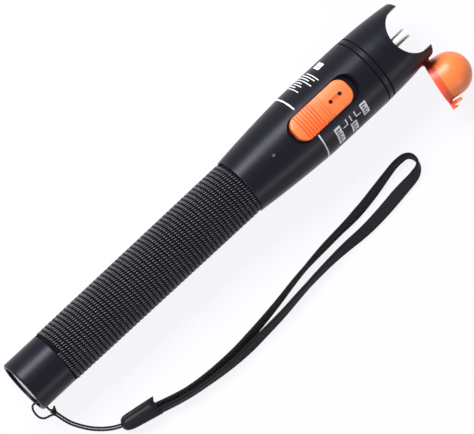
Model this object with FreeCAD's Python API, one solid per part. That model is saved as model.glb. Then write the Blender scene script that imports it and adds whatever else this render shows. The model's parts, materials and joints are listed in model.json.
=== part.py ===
"""Visual fault locator pen: a battery handle, a switch head with a fibre port, a dust cap and a wrist strap.

Every piece of the pen is drawn on stations: X runs from the tail end (station 0) to the tips of the crown,
+Z is the switch side and +Y is the left side.  At the end the pen is laid down: its port mouth becomes the
origin and the axis is pitched, so that the tail edge and the head both touch the surface it rests on.
The strap is drawn straight in that resting frame.  All sizes are millimetres and degrees.
"""
import FreeCAD, Part
import math
import os

from FreeCAD import Vector

# ---- lengths along the pen, from the tail end ----
tail_length = 15.2
taper_length = 33.5
head_length = 27.6
collar_length = 2.8
crown_length = 21.6

# ---- outside radii ----
tail_radius = 10.45
tail_edge = 0.6
grip_rear_radius = 10.4
grip_front_radius = 10.95
barrel_rear_radius = 11.5
taper_bulge = 0.25
head_radius = 14.0
collar_step = 0.1
crown_step = 0.1
crown_taper = 1.5
crown_bulge = 0.3

# ---- grip ----
flute_count = 60
flute_depth = 0.35

# ---- fits ----
seam_gap = 0.1
slip_clearance = 0.05
thread_clearance = 0.1
loose_clearance = 0.3

# ---- cells and the battery chamber ----
cell_radius = 7.25
cell_length = 50.5
cell_nub_radius = 2.75
cell_nub_length = 1.3
cell_clearance = 0.45
cell_overhang = 8.4
floor_thickness = 2.0
spring_length = 7.0
spring_wire = 0.45
spring_top_radius = 2.6
spring_base_radius = 4.6
spring_turns = 4
spring_plate_radius = 6.5
spring_plate_thickness = 0.5

# ---- tail end ----
tail_recess_radius = 8.9
tail_recess_depth = 3.4
disc_thickness = 1.4
disc_edge = 0.35
disc_boss_radius = 6.6
disc_boss_height = 1.2
disc_stud_radius = 1.5
lanyard_hole_radius = 0.9
lanyard_hole_station = 1.7

# ---- screwed joint ----
spigot_length = 9.0
spigot_radius = 9.2
socket_extra_depth = 1.0
seal_section_radius = 0.44
seal_groove_width = 1.4
seal_setback = 2.3

# ---- inside of the head ----
cavity_radius = 9.0
contact_gap = 0.25
contact_radius = 1.9
contact_length = 4.2
carrier_disc_thickness = 3.0
carrier_bed_gap = 0.6
carrier_wall = 1.4
board_level = 2.0
board_thickness = 1.0
board_width = 15.2
board_screw_radius = 0.8
board_screw_head_radius = 1.5
board_screw_head_height = 0.9
board_screw_reach = 3.4
board_screw_inset = 2.6
board_screw_spread = 5.2
chip_size = (5.0, 4.0, 1.3)
chip_offset = 8.0
capacitor_radius = 1.5
capacitor_height = 3.2
capacitor_spread = 4.4
capacitor_offset = 9.7
indicator_radius = 0.65
indicator_setback = 16.6

# ---- switch ----
ring_mark_margin = 2.9
pocket_front_margin = 7.5
pocket_length = 30.6
pocket_width = 10.9
pocket_corner = 4.6
pocket_depth = 3.4
pocket_bevel_depth = 1.1
pocket_bevel_slope = 0.9
button_length = 26.3
button_width = 10.2
button_corner = 4.0
button_proud = 0.35
button_edge = 0.7
button_shift = -0.6
button_rib_count = 7
button_rib_pitch = 1.25
button_rib_depth = 0.5
button_rib_width = 0.8
button_rib_start = 3.4
button_hole_radius = 0.75
button_hole_depth = 1.2
button_hole_insets = (4.45, 8.95)
button_channel_depth = 0.25
button_socket_depth = 1.2
switch_travel = 1.25
stem_length = 4.0
stem_width = 2.4
stem_foot_level = 4.8
switch_box_length = 12.0
switch_box_width = 6.4
switch_box_height = 4.4

# ---- crown, port and optics ----
crown_spigot_length = 5.4
crown_spigot_inset = 3.1
groove_width = 0.35
groove_depth = 0.6
scoop_radius = 9.45
scoop_depth = 11.7
ear_edge = 1.1
port_setback = 1.9
port_radius = 1.93
port_bore_radius = 1.26
port_lip_length = 2.0
port_flange_radius = 5.9
port_flange_length = 2.5
port_flange_setback = 13.2
sleeve_radius = 1.6
sleeve_length = 9.2
aperture_radius = 0.6
laser_gap = 0.5
laser_bore_radius = 2.3
lens_radius = 2.85
lens_thickness = 2.4
lens_bulge = 0.5
lens_setback = 6.0
retainer_length = 1.2
retainer_bore_radius = 1.9
diode_flange_radius = 2.8
diode_flange_length = 1.2
diode_flange_inset = 1.2
diode_can_radius = 2.2
diode_can_length = 2.8
diode_lead_radius = 0.22
diode_lead_circle = 1.27
diode_lead_length = 1.6

# ---- dust cap ----
cap_dome_radius = 8.3
cap_dome_offset = 5.7
cap_wall = 1.4
cap_flange_radius = 9.0
cap_flange_length = 2.5
cap_flange_steps = 3
cap_flange_step = 0.32
cap_lift_deg = 19.0
cap_yaw_deg = 10.5
cap_centre_advance = 0.6
cap_centre_reach = 9.55
cap_pin_setback = 6.8
cap_pin_inset = 2.1
cap_pin_radius = 0.6
cap_pin_length = 6.4
cap_eye_clearance = 0.08
cap_lug_radius = 1.7
cap_lug_thickness = 2.0
cap_lug_width = 2.4
cap_lug_level = -4.5
cap_slot_clearance = 0.25
cap_swing_deg = 60.0
cap_tab_reach = 2.6
cap_tab_thickness = 1.3
cap_tab_width = 3.6
cap_prong_length = 4.9
cap_prong_width = 1.3
cap_lip_length = 2.2
cap_lip_width = 0.9

# ---- wrist strap, in the resting frame ----
string_radius = 0.42
webbing_thickness = 1.2
webbing_width = 5.0
clip_thickness = 5.0
knot_radius = 1.35

string_loop_route = [
    (-185.9, -14.2, 0.42), (-187.4, -13.5, 0.42), (-189.3, -13.1, 0.42), (-190.6, -11.8, 0.42),
    (-190.9, -9.6, 0.5), (-190.5, -7.6, 1.3), (-190.0, -6.7, 3.6), (-189.5, -6.6, 6.5), (-188.6, -7.1, 9.2),
    (-187.52, -7.9, 10.5), (-187.52, -11.5, 10.4), (-186.9, -12.3, 7.2), (-186.1, -12.4, 3.8),
    (-185.3, -13.0, 0.9)]
knot_place = (-185.5, -13.3)
strand_route = [
    (-169.8, -34.0), (-173.4, -32.4), (-176.8, -29.9), (-179.8, -26.9), (-182.3, -23.3), (-184.1, -19.9),
    (-185.0, -16.4)]
strand_spacing = 0.9
clip_rear = (-171.6, -33.9)
clip_front = (-157.1, -36.7)
clip_rear_width = 5.6
clip_front_width = 7.2
clip_notch_depth = 1.6
webbing_route = [
    (-159.8, -35.9), (-152.0, -38.5), (-142.5, -40.7), (-132.0, -41.7), (-121.0, -41.9), (-110.5, -41.0),
    (-100.0, -39.7), (-89.5, -37.95), (-79.0, -36.85), (-68.0, -36.25), (-57.0, -35.95), (-47.8, -34.8),
    (-39.5, -33.3), (-32.5, -32.1), (-26.9, -32.9), (-25.9, -37.6), (-29.6, -40.3), (-38.0, -40.8),
    (-47.5, -41.9), (-58.0, -42.5), (-69.0, -41.8), (-80.0, -42.0), (-91.0, -42.75), (-101.5, -43.85),
    (-112.5, -44.3), (-123.5, -44.6), (-134.0, -43.85), (-144.0, -42.5), (-153.0, -40.3), (-160.6, -37.8),
]

# ---- stations that several pieces share ----
grip_start = tail_length
disc_seat = tail_recess_depth
chamber_start = tail_recess_depth + floor_thickness
cell_start = chamber_start + spring_plate_thickness + spring_length
cell_end = cell_start + 2 * cell_length
seam_station = cell_end - cell_overhang
head_start = seam_station + taper_length
collar_start = head_start + head_length
crown_start = collar_start + collar_length
overall_length = crown_start + crown_length
mouth_station = overall_length - port_setback
ring_mark_station = head_start - ring_mark_margin

collar_radius = head_radius - collar_step
crown_root_radius = collar_radius - crown_step
crown_tip_radius = crown_root_radius - crown_taper
cap_centre_station = overall_length + cap_centre_advance
cap_centre_offset = crown_tip_radius + cap_centre_reach
cap_pin_station = overall_length - cap_pin_setback
cap_pin_offset = crown_tip_radius - cap_pin_inset

chamber_radius = cell_radius + cell_clearance
socket_radius = spigot_radius + thread_clearance
spigot_start = seam_station - spigot_length
seal_station = seam_station - seal_setback
seal_major_radius = socket_radius - slip_clearance - seal_section_radius
seal_groove_radius = seal_major_radius - seal_section_radius - slip_clearance

pocket_level = head_radius - pocket_depth
pocket_end = collar_start - pocket_front_margin
pocket_centre = pocket_end - pocket_length / 2
button_centre = pocket_centre + button_shift
button_floor = pocket_level + loose_clearance
button_top_radius = head_radius + button_proud
stem_top = button_floor + button_socket_depth

crown_spigot_start = collar_start - crown_spigot_length
crown_spigot_radius = head_radius - crown_spigot_inset
flange_start = mouth_station - port_flange_setback - port_flange_length
flange_end = mouth_station - port_flange_setback
crown_bore_radius = port_flange_radius + slip_clearance
laser_start = button_centre + switch_box_length / 2 + laser_gap
laser_end = flange_start
lens_seat = laser_end - lens_setback
scoop_centre = overall_length - scoop_depth + scoop_radius

contact_start = cell_end + contact_gap
carrier_start = contact_start + contact_gap
bed_start = carrier_start + carrier_disc_thickness
bed_end = laser_start - carrier_bed_gap
carrier_radius = cavity_radius - slip_clearance
board_start = bed_start + loose_clearance
board_length = bed_end - loose_clearance - board_start
board_top = board_level + board_thickness

rest_pitch = math.degrees(math.atan2(head_radius - tail_radius, head_start - tail_edge))


def rest_level(station):
    """Height, square to the axis, of the surface that the pen lies on, below the axis at a station."""
    slope = math.tan(math.radians(rest_pitch))
    return -(head_radius + (station - head_start) * slope)


def lay_down(shape):
    """Move a piece from stations to the resting frame."""
    laid = shape.copy()
    laid.translate(Vector(-mouth_station, 0, 0))
    laid.rotate(Vector(0, 0, 0), Vector(0, 1, 0), -rest_pitch)
    return laid


def surface_height():
    """Height of the surface that the pen lies on, in the resting frame."""
    pitch = math.radians(rest_pitch)
    return (head_start - mouth_station) * math.sin(pitch) - head_radius * math.cos(pitch)


def turned(points):
    """Solid of revolution about the pen's axis from a closed outline of (station, radius)."""
    outline = Part.makePolygon([Vector(s, 0, r) for s, r in points + points[:1]])
    return Part.Face(outline).revolve(Vector(0, 0, 0), Vector(1, 0, 0), 360)


def bowed(start, end, bulge, count):
    """Outline points from one (station, radius) to another, bowed outwards by a bulge in the middle."""
    points = []
    for index in range(count + 1):
        share = index / count
        radius = start[1] + (end[1] - start[1]) * share + 4 * bulge * share * (1 - share)
        points.append((start[0] + (end[0] - start[0]) * share, radius))
    return points


def ring_of(station, radius, section_radius, sides):
    """Ring about the pen's axis with a many-sided section."""
    points = []
    for index in range(sides):
        angle = 2 * math.pi * (index + 0.5) / sides
        points.append((station + section_radius * math.cos(angle), radius + section_radius * math.sin(angle)))
    return turned(points)


def rod(start, end, radius, y=0.0, z=0.0):
    """Round bar along the axis between two stations."""
    return Part.makeCylinder(radius, end - start, Vector(start, y, z), Vector(1, 0, 0))


def post(station, y, bottom, top, radius):
    """Round bar square to the axis, standing up."""
    return Part.makeCylinder(radius, top - bottom, Vector(station, y, bottom), Vector(0, 0, 1))


def block(start, end, half_width, bottom, top):
    """Box that is centred across the pen."""
    return Part.makeBox(end - start, 2 * half_width, top - bottom, Vector(start, -half_width, bottom))


def rounded_outline(centre, length, width, corner, level):
    """Flat rounded rectangle at a level."""
    a, b = length / 2 - corner, width / 2 - corner
    turn = corner * math.sqrt(0.5)
    edges = []
    corners = [(a, b, 1, 1), (-a, b, -1, 1), (-a, -b, -1, -1), (a, -b, 1, -1)]
    for index, (x, y, sx, sy) in enumerate(corners):
        along = Vector(centre + x + sx * corner, y, level)
        across = Vector(centre + x, y + sy * corner, level)
        middle = Vector(centre + x + sx * turn, y + sy * turn, level)
        first, last = (along, across) if index % 2 == 0 else (across, along)
        edges.append(Part.Arc(first, middle, last).toShape())
    wires = []
    for index, edge in enumerate(edges):
        following = edges[(index + 1) % len(edges)]
        wires.append(edge)
        wires.append(Part.makeLine(edge.Vertexes[-1].Point, following.Vertexes[0].Point))
    return Part.Wire(wires)


def fluted_bar():
    """Outside of the grip: a tapered bar with flutes along it."""
    growth = grip_front_radius / grip_rear_radius
    rings = []
    for station, scale in ((grip_start, 1.0), (seam_station - seam_gap, growth)):
        ring = []
        for index in range(2 * flute_count):
            radius = (grip_rear_radius - (index % 2) * flute_depth) * scale
            angle = math.pi * index / flute_count
            ring.append(Vector(station, radius * math.cos(angle), radius * math.sin(angle)))
        rings.append(ring)
    faces = [Part.Face(Part.makePolygon(ring + ring[:1])) for ring in rings]
    for index in range(2 * flute_count):
        after = (index + 1) % (2 * flute_count)
        corners = [rings[0][index], rings[0][after], rings[1][after], rings[1][index]]
        faces.append(Part.Face(Part.makePolygon(corners + corners[:1])))
    return Part.Solid(Part.Shell(faces))


def handle_tube():
    """Handle: fluted grip and smooth tail in one piece, with the battery chamber and the joint's socket."""
    tail = turned([(0, 0), (0, tail_radius - tail_edge), (tail_edge, tail_radius),
                   (tail_length, tail_radius), (tail_length, 0)])
    socket_start = spigot_start - socket_extra_depth
    body = tail.fuse(fluted_bar())
    body = body.cut(rod(-1, disc_seat, tail_recess_radius))
    body = body.cut(rod(disc_seat - 1, chamber_start + 1, disc_stud_radius + slip_clearance))
    body = body.cut(rod(chamber_start, seam_station + 1, chamber_radius))
    body = body.cut(rod(socket_start, seam_station + 1, socket_radius))
    hole = Part.makeCylinder(lanyard_hole_radius, tail_radius, Vector(lanyard_hole_station, 0, 0),
                             Vector(0, -1, 0))
    return body.cut(hole)


def tail_disc():
    """Bright contact disc in the tail's recess, with the stud that passes through the floor."""
    radius = tail_recess_radius - slip_clearance
    front = disc_seat - disc_thickness
    boss = front - disc_boss_height
    return turned([(boss, 0), (boss, disc_boss_radius - disc_edge), (boss + disc_edge, disc_boss_radius),
                   (front, disc_boss_radius), (front, radius - disc_edge), (front + disc_edge, radius),
                   (disc_seat, radius),
                   (disc_seat, disc_stud_radius), (chamber_start, disc_stud_radius), (chamber_start, 0)])


def spring_plate():
    """Plate that carries the battery spring."""
    return rod(chamber_start, chamber_start + spring_plate_thickness, spring_plate_radius)


def battery_spring():
    """Conical battery spring: closed rings that step in towards the cell."""
    base = chamber_start + spring_plate_thickness
    free = spring_length - 2 * spring_wire
    rings = []
    for turn in range(spring_turns + 1):
        share = turn / spring_turns
        radius = spring_base_radius + (spring_top_radius - spring_base_radius) * share
        station = base + spring_wire + free * share
        rings.append((station, radius))
    wire = None
    for station, radius in rings:
        ring = ring_of(station, radius, spring_wire, 6)
        wire = ring if wire is None else wire.fuse(ring)
    for index, (start, end) in enumerate(zip(rings, rings[1:])):
        side = 1 if index % 2 == 0 else -1
        first = Vector(start[0], side * start[1], 0)
        last = Vector(end[0], side * end[1], 0)
        rise = last.sub(first)
        wire = wire.fuse(Part.makeCylinder(0.8 * spring_wire, rise.Length, first, rise))
    return wire


def cell(start):
    """One AA cell, flat end first."""
    shoulder = start + cell_length - cell_nub_length
    return turned([(start, 0), (start, cell_radius - 0.4), (start + 0.4, cell_radius),
                   (shoulder - 0.6, cell_radius), (shoulder, cell_radius - 0.6), (shoulder, cell_nub_radius),
                   (start + cell_length, cell_nub_radius), (start + cell_length, 0)])


def barrel_oring():
    """Seal ring in the groove of the head's spigot."""
    return ring_of(seal_station, seal_major_radius, seal_section_radius, 8)


def pocket():
    """Space of the switch pocket: upright walls and a bevel that widens towards the surface."""
    bevel_level = head_radius - pocket_bevel_depth
    growth = 4 * pocket_bevel_depth * pocket_bevel_slope
    well = rounded_outline(pocket_centre, pocket_length, pocket_width, pocket_corner, pocket_level)
    lower = rounded_outline(pocket_centre, pocket_length, pocket_width, pocket_corner, bevel_level)
    upper = rounded_outline(pocket_centre, pocket_length + growth, pocket_width + growth,
                            pocket_corner + growth / 2, bevel_level + 2 * pocket_bevel_depth)
    return Part.Face(well).extrude(Vector(0, 0, head_radius)).fuse(Part.makeLoft([lower, upper], True, True))


def stem_slot():
    """Slot through the pocket's floor that the stem travels in."""
    reach = stem_length / 2 + switch_travel + loose_clearance
    half = stem_width / 2 + loose_clearance / 2
    return block(button_centre - reach, button_centre + reach, half, cavity_radius / 2, pocket_level + 1)


def front_barrel():
    """Switch head: spigot, tapered shell, cavity for the electronics, pocket and the crown's socket."""
    flank = bowed((seam_station, barrel_rear_radius), (head_start, head_radius), taper_bulge, 8)
    shell = turned(flank + [(collar_start, head_radius), (collar_start, 0), (seam_station, 0)])
    spigot = turned([(spigot_start, 0), (spigot_start, spigot_radius - 0.5), (spigot_start + 0.5, spigot_radius),
                     (seam_station + 1, spigot_radius), (seam_station + 1, 0)])
    groove = turned([(seal_station - seal_groove_width / 2, seal_groove_radius),
                     (seal_station - seal_groove_width / 2, spigot_radius + 1),
                     (seal_station + seal_groove_width / 2, spigot_radius + 1),
                     (seal_station + seal_groove_width / 2, seal_groove_radius)])
    body = shell.fuse(spigot).cut(groove)
    body = body.cut(rod(spigot_start - 1, carrier_start + 1, chamber_radius))
    body = body.cut(rod(carrier_start, crown_spigot_start + 1, cavity_radius))
    body = body.cut(rod(crown_spigot_start, collar_start + 1, crown_spigot_radius + slip_clearance))
    body = body.cut(pocket()).cut(stem_slot())
    station = ring_mark_station - indicator_setback
    return body.cut(post(station, 0, cavity_radius / 2, head_radius + 1, indicator_radius + slip_clearance))


def indicator_pipe():
    """Clear light pipe through the head's wall."""
    station = ring_mark_station - indicator_setback
    share = (station - seam_station) / taper_length
    top = barrel_rear_radius + (head_radius - barrel_rear_radius) * share
    return post(station, 0, cavity_radius - 1.0, top, indicator_radius)


def collar_ring():
    """Ring between the head and the crown, with a groove at each seam."""
    bore = crown_spigot_radius + slip_clearance
    low = collar_radius - groove_depth
    return turned([(collar_start, bore), (collar_start, low), (collar_start + groove_width, low),
                   (collar_start + groove_width, collar_radius), (crown_start - groove_width, collar_radius),
                   (crown_start - groove_width, low), (crown_start, low), (crown_start, bore)])


def direction(angle):
    """Flat unit vector at an angle from the pen's axis."""
    return Vector(math.cos(angle), math.sin(angle), 0)


def lug_slot():
    """Slot in the crown's side that the dust cap's lug swings in."""
    half = cap_lug_thickness / 2 + cap_slot_clearance
    side = cap_lug_width / 2 + cap_slot_clearance
    pivot = Vector(cap_pin_station, -cap_pin_offset, cap_lug_level - half)
    eye = Part.makeCylinder(cap_lug_radius + cap_slot_clearance, 2 * half, pivot, Vector(0, 0, 1))
    way = lug_reach()
    rest = math.atan2(way.y, way.x)
    swung = rest - math.radians(cap_swing_deg)
    between = (rest + swung) / 2
    near, far = direction(rest), direction(swung)
    left = pivot + Vector(-near.y, near.x, 0) * side
    right = pivot - Vector(-far.y, far.x, 0) * side
    fan = [left, left + near * head_radius, pivot + direction(between) * (1.3 * head_radius),
           right + far * head_radius, right]
    return eye.fuse(Part.Face(Part.makePolygon(fan + fan[:1])).extrude(Vector(0, 0, 2 * half)))


def crown():
    """Crown: screwed spigot, two ears with a round scoop between them, and the port's seat."""
    edge_station = overall_length - ear_edge
    turn = ear_edge * (1 - math.sqrt(0.5))
    flank = bowed((crown_start, crown_root_radius), (edge_station, crown_tip_radius), crown_bulge, 5)
    nose = Part.Arc(Vector(edge_station, 0, crown_tip_radius),
                    Vector(overall_length - turn, 0, crown_tip_radius - turn),
                    Vector(overall_length, 0, crown_tip_radius - ear_edge)).toShape()
    closing = Part.makePolygon([Vector(overall_length, 0, crown_tip_radius - ear_edge),
                                Vector(overall_length, 0, 0), Vector(crown_spigot_start, 0, 0),
                                Vector(crown_spigot_start, 0, crown_spigot_radius),
                                Vector(crown_start, 0, crown_spigot_radius)]
                               + [Vector(station, 0, radius) for station, radius in flank])
    outline = Part.Face(Part.Wire([nose] + closing.Edges))
    body = outline.revolve(Vector(0, 0, 0), Vector(1, 0, 0), 360)
    scoop = post(scoop_centre, 0, -2 * head_radius, 2 * head_radius, scoop_radius)
    body = body.cut(scoop)
    body = body.cut(rod(crown_spigot_start - 1, flange_end, crown_bore_radius))
    body = body.cut(rod(flange_end - 1, overall_length, port_radius + slip_clearance))
    return body.cut(lug_slot()).cut(cap_pin())


def port_housing():
    """Bright port tube with the flange that clamps it in the crown."""
    tube_start = flange_start
    body = turned([(tube_start, 0), (tube_start, port_flange_radius), (flange_end, port_flange_radius),
                   (flange_end, port_radius), (mouth_station - 0.25, port_radius),
                   (mouth_station, port_radius - 0.25), (mouth_station, 0)])
    sleeve_end = mouth_station - port_lip_length
    body = body.cut(rod(sleeve_end - 1, mouth_station + 1, port_bore_radius))
    body = body.cut(rod(sleeve_end - sleeve_length, sleeve_end, sleeve_radius + slip_clearance))
    return body.cut(rod(tube_start - 1, mouth_station, aperture_radius))


def ferrule_sleeve():
    """Ceramic sleeve that holds the ferrule."""
    end = mouth_station - port_lip_length
    return rod(end - sleeve_length, end, sleeve_radius).cut(
        rod(end - sleeve_length - 1, end + 1, port_bore_radius))


def laser_barrel():
    """Brass barrel that carries the diode at its rear and the lens at its front."""
    body = rod(laser_start, laser_end, port_flange_radius)
    body = body.cut(rod(laser_start - 1, laser_end + 1, laser_bore_radius))
    body = body.cut(rod(laser_start - 1, laser_start + diode_flange_inset + diode_flange_length,
                        diode_flange_radius + slip_clearance))
    return body.cut(rod(lens_seat, laser_end + 1, lens_radius + slip_clearance))


def focus_lens():
    """Lens with two domed faces and a flat rim."""
    front, back = lens_seat + lens_bulge, lens_seat + lens_thickness - lens_bulge
    profile = [(1.0, 0.0), (1.0, 0.35), (0.72, 0.6), (0.26, 0.86), (0.0, 1.0)]
    points = [Vector(front - share * lens_bulge, 0, part * lens_radius) for share, part in profile]
    points += [Vector(back + share * lens_bulge, 0, part * lens_radius) for share, part in reversed(profile)]
    outline = Part.makePolygon(points + points[:1])
    return Part.Face(outline).revolve(Vector(0, 0, 0), Vector(1, 0, 0), 360)


def lens_retainer():
    """Threaded ring that holds the lens down."""
    start = lens_seat + lens_thickness
    ring = rod(start, start + retainer_length, lens_radius)
    return ring.cut(rod(start - 1, start + retainer_length + 1, retainer_bore_radius))


def laser_diode():
    """Laser diode: flange, can and three leads."""
    seat = laser_start + diode_flange_inset + diode_flange_length
    body = rod(seat - diode_flange_length, seat, diode_flange_radius)
    body = body.fuse(rod(seat, seat + diode_can_length, diode_can_radius))
    lead_end = seat - diode_flange_length
    for angle in (90, 210, 330):
        y = diode_lead_circle * math.cos(math.radians(angle))
        z = diode_lead_circle * math.sin(math.radians(angle))
        body = body.fuse(rod(lead_end - diode_lead_length, lead_end + 0.2, diode_lead_radius, y, z))
    return body


def positive_contact():
    """Contact stud that the front cell's nub meets."""
    dome = 0.5
    end = contact_start + contact_length
    return turned([(contact_start, 0), (contact_start, contact_radius - dome),
                   (contact_start + dome, contact_radius), (end, contact_radius), (end, 0)])


def screw_places():
    """Stations and sides of the board's two screws."""
    station = board_start + board_screw_inset
    return [(station, board_screw_spread), (station, -board_screw_spread)]


def module_carrier():
    """Moulded insulator: a disc behind the contact and an open cradle under the board."""
    disc = rod(carrier_start, bed_start, carrier_radius)
    disc = disc.cut(rod(carrier_start - 1, bed_start + 1, contact_radius))
    bed = rod(bed_start, bed_end, carrier_radius)
    bed = bed.cut(block(bed_start - 1, bed_end + 1, head_radius, board_level, head_radius))
    rib = 2.5 * carrier_wall
    first = bed_start + board_screw_inset + board_screw_head_radius + rib
    trough = rod(first, bed_end - rib, carrier_radius - carrier_wall)
    carrier = disc.fuse(bed).cut(trough)
    for station, y in screw_places():
        carrier = carrier.cut(post(station, y, board_top - board_screw_reach - 0.2, board_top,
                                   board_screw_radius))
    return carrier.cut(rod(bed_start - 1, contact_start + contact_length + 0.2,
                           contact_radius))


def circuit_board():
    """Driver board that lies on the cradle."""
    board = block(board_start, board_start + board_length, board_width / 2, board_level, board_top)
    for station, y in screw_places():
        board = board.cut(post(station, y, board_level - 1, board_top + 1, board_screw_radius + slip_clearance))
    return board


def board_screws():
    """Two small screws that hold the board down."""
    screws = []
    for station, y in screw_places():
        shank = post(station, y, board_top - board_screw_reach, board_top, board_screw_radius)
        head = post(station, y, board_top, board_top + board_screw_head_height, board_screw_head_radius)
        drive = block(station - 2, station + 2, 0.2, board_top + 0.5, board_top + 2)
        drive.translate(Vector(0, y, 0))
        screws.append(shank.fuse(head).cut(drive))
    return Part.makeCompound(screws)


def driver_chip():
    """Driver chip on the board."""
    length, width, height = chip_size
    start = board_start + chip_offset
    return block(start, start + length, width / 2, board_top, board_top + height)


def filter_capacitors():
    """Two filter capacitors on the board."""
    cans = []
    for side in (1, -1):
        cans.append(post(board_start + capacitor_offset, side * capacitor_spread, board_top,
                         board_top + capacitor_height, capacitor_radius))
    return Part.makeCompound(cans)


def slide_switch():
    """Slide switch on the board, open at the top for the stem's foot."""
    top = board_top + switch_box_height
    start, end = button_centre - switch_box_length / 2, button_centre + switch_box_length / 2
    body = block(start, end, switch_box_width / 2, board_top, top)
    reach = stem_length / 2 + switch_travel + loose_clearance
    half = stem_width / 2 + loose_clearance / 2
    return body.cut(block(button_centre - reach, button_centre + reach, half,
                          stem_foot_level - loose_clearance, top + 1))


def switch_stem():
    """Stem that carries the button's motion down to the switch."""
    return block(button_centre - stem_length / 2, button_centre + stem_length / 2, stem_width / 2,
                 stem_foot_level, stem_top)


def slide_button():
    """Thumb button: crowned top, rounded corners, ribs, two sight holes and their channel."""
    outline = rounded_outline(button_centre, button_length, button_width, button_corner, button_floor)
    bar = Part.Face(outline).extrude(Vector(0, 0, head_radius))
    body = bar.common(rod(button_centre - button_length, button_centre + button_length, button_top_radius))
    top_edges = [edge for edge in body.Edges if edge.BoundBox.ZMin > button_floor + 1.0]
    body = body.makeFillet(button_edge, top_edges)
    tail_end = button_centre - button_length / 2
    head_end = button_centre + button_length / 2
    for index in range(button_rib_count):
        station = tail_end + button_rib_start + index * button_rib_pitch
        half = button_rib_width / 2
        high, low = button_top_radius + 0.1, button_top_radius - button_rib_depth
        body = body.cut(turned([(station - half, high), (station + half, high), (station + half / 4, low),
                                (station - half / 4, low)]))
    for inset in button_hole_insets:
        body = body.cut(post(head_end - inset, 0, button_top_radius - button_hole_depth,
                             button_top_radius + 1, button_hole_radius))
    first, last = (head_end - inset for inset in sorted(button_hole_insets, reverse=True))
    body = body.cut(block(first, last, button_hole_radius * 0.7, button_top_radius - button_channel_depth,
                          button_top_radius + 1))
    socket = block(button_centre - stem_length / 2 - slip_clearance,
                   button_centre + stem_length / 2 + slip_clearance,
                   stem_width / 2 + slip_clearance, button_floor - 1, stem_top)
    return body.cut(socket)


def cap_pin():
    """Pin in the crown that the dust cap's lug turns on."""
    return post(cap_pin_station, -cap_pin_offset, cap_lug_level - cap_pin_length / 2 + 1.2,
                cap_lug_level + cap_pin_length / 2 + 1.2, cap_pin_radius)


def cap_rest_height():
    """Level of the dome's centre at which the cap's flange just meets the surface the pen lies on."""
    lift = math.radians(cap_lift_deg)
    drop = cap_dome_offset * math.sin(lift) + cap_flange_radius * math.cos(lift)
    station = cap_centre_station - cap_dome_offset + cap_flange_radius * math.sin(lift)
    return rest_level(station) + drop


def cap_place(shape):
    """Move a piece of the dust cap from its own axis, mouth at the origin, to its place beside the ear."""
    placed = shape.copy()
    placed.translate(Vector(-cap_dome_offset, 0, 0))
    placed.rotate(Vector(0, 0, 0), Vector(0, 1, 0), -cap_lift_deg)
    placed.rotate(Vector(0, 0, 0), Vector(0, 0, 1), -cap_yaw_deg)
    placed.translate(Vector(cap_centre_station, -cap_centre_offset, cap_rest_height()))
    return placed


def lug_reach():
    """Flat vector from the cap's pin to the middle of its flange's wall."""
    root = cap_place(Part.Vertex(Vector(cap_flange_length / 2, cap_flange_radius - cap_wall, 0))).Point
    return Vector(root.x - cap_pin_station, root.y + cap_pin_offset, 0)


def dome_outline(radius, low_points):
    """Closed half outline of a dome cap about its axis: an arc over the mouth side's points."""
    top = cap_dome_offset + radius
    lean = radius * math.sqrt(0.5)
    arc = Part.Arc(Vector(cap_dome_offset, 0, radius), Vector(cap_dome_offset + lean, 0, lean),
                   Vector(top, 0, 0)).toShape()
    points = [Vector(top, 0, 0)] + [Vector(s, 0, r) for s, r in low_points] + [Vector(cap_dome_offset, 0, radius)]
    outline = Part.Wire([arc] + Part.makePolygon(points).Edges)
    return Part.Face(outline).revolve(Vector(0, 0, 0), Vector(1, 0, 0), 360)


def cap_outside():
    """Dome and stepped flange of the dust cap, solid, about its own axis."""
    step_length = cap_flange_length / cap_flange_steps
    points = [(0, 0), (0, cap_flange_radius)]
    for index in range(1, cap_flange_steps):
        radius = points[-1][1]
        points += [(index * step_length, radius), (index * step_length, radius - cap_flange_step)]
    points += [(cap_flange_length, points[-1][1]), (cap_flange_length, cap_dome_radius)]
    return dome_outline(cap_dome_radius, points)


def cap_inside():
    """Hollow of the dust cap, about its own axis."""
    bore = cap_dome_radius - cap_wall
    points = [(-1, 0), (-1, bore)]
    for index in range(7):
        angle = math.pi * index / 12
        points.append((cap_dome_offset + bore * math.sin(angle), bore * math.cos(angle)))
    return turned(points)


def dust_cap():
    """Dust cap in one moulding: dome, flange, the lug in the crown's slot and the open clip."""
    outer = -cap_flange_radius - cap_tab_reach
    clip = Part.makeBox(cap_tab_thickness, cap_tab_reach + cap_wall, cap_tab_width,
                        Vector(0, outer, -cap_tab_width / 2))
    for length, width, place in ((cap_prong_length, cap_prong_width, outer + cap_tab_reach),
                                 (cap_lip_length, cap_lip_width, outer + cap_lip_width)):
        clip = clip.fuse(Part.makeBox(length - width / 2, width, cap_tab_width,
                                      Vector(0, place - width, -cap_tab_width / 2)))
        clip = clip.fuse(Part.makeCylinder(width / 2, cap_tab_width,
                                           Vector(length - width / 2, place - width / 2, -cap_tab_width / 2)))
    body = cap_place(cap_outside().fuse(clip))
    bottom = cap_lug_level - cap_lug_thickness / 2
    pivot = Vector(cap_pin_station, -cap_pin_offset, bottom)
    eye = Part.makeCylinder(cap_lug_radius, cap_lug_thickness, pivot, Vector(0, 0, 1))
    reach = lug_reach()
    neck = Part.makeBox(reach.Length, cap_lug_width, cap_lug_thickness, Vector(0, -cap_lug_width / 2, 0))
    neck.rotate(Vector(0, 0, 0), Vector(0, 0, 1), math.degrees(math.atan2(reach.y, reach.x)))
    neck.translate(pivot)
    hole = Part.makeCylinder(cap_pin_radius + cap_eye_clearance, 2 * cap_lug_thickness,
                             pivot.sub(Vector(0, 0, cap_lug_thickness / 2)), Vector(0, 0, 1))
    return body.fuse(eye).fuse(neck).cut(cap_place(cap_inside())).cut(hole)


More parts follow.
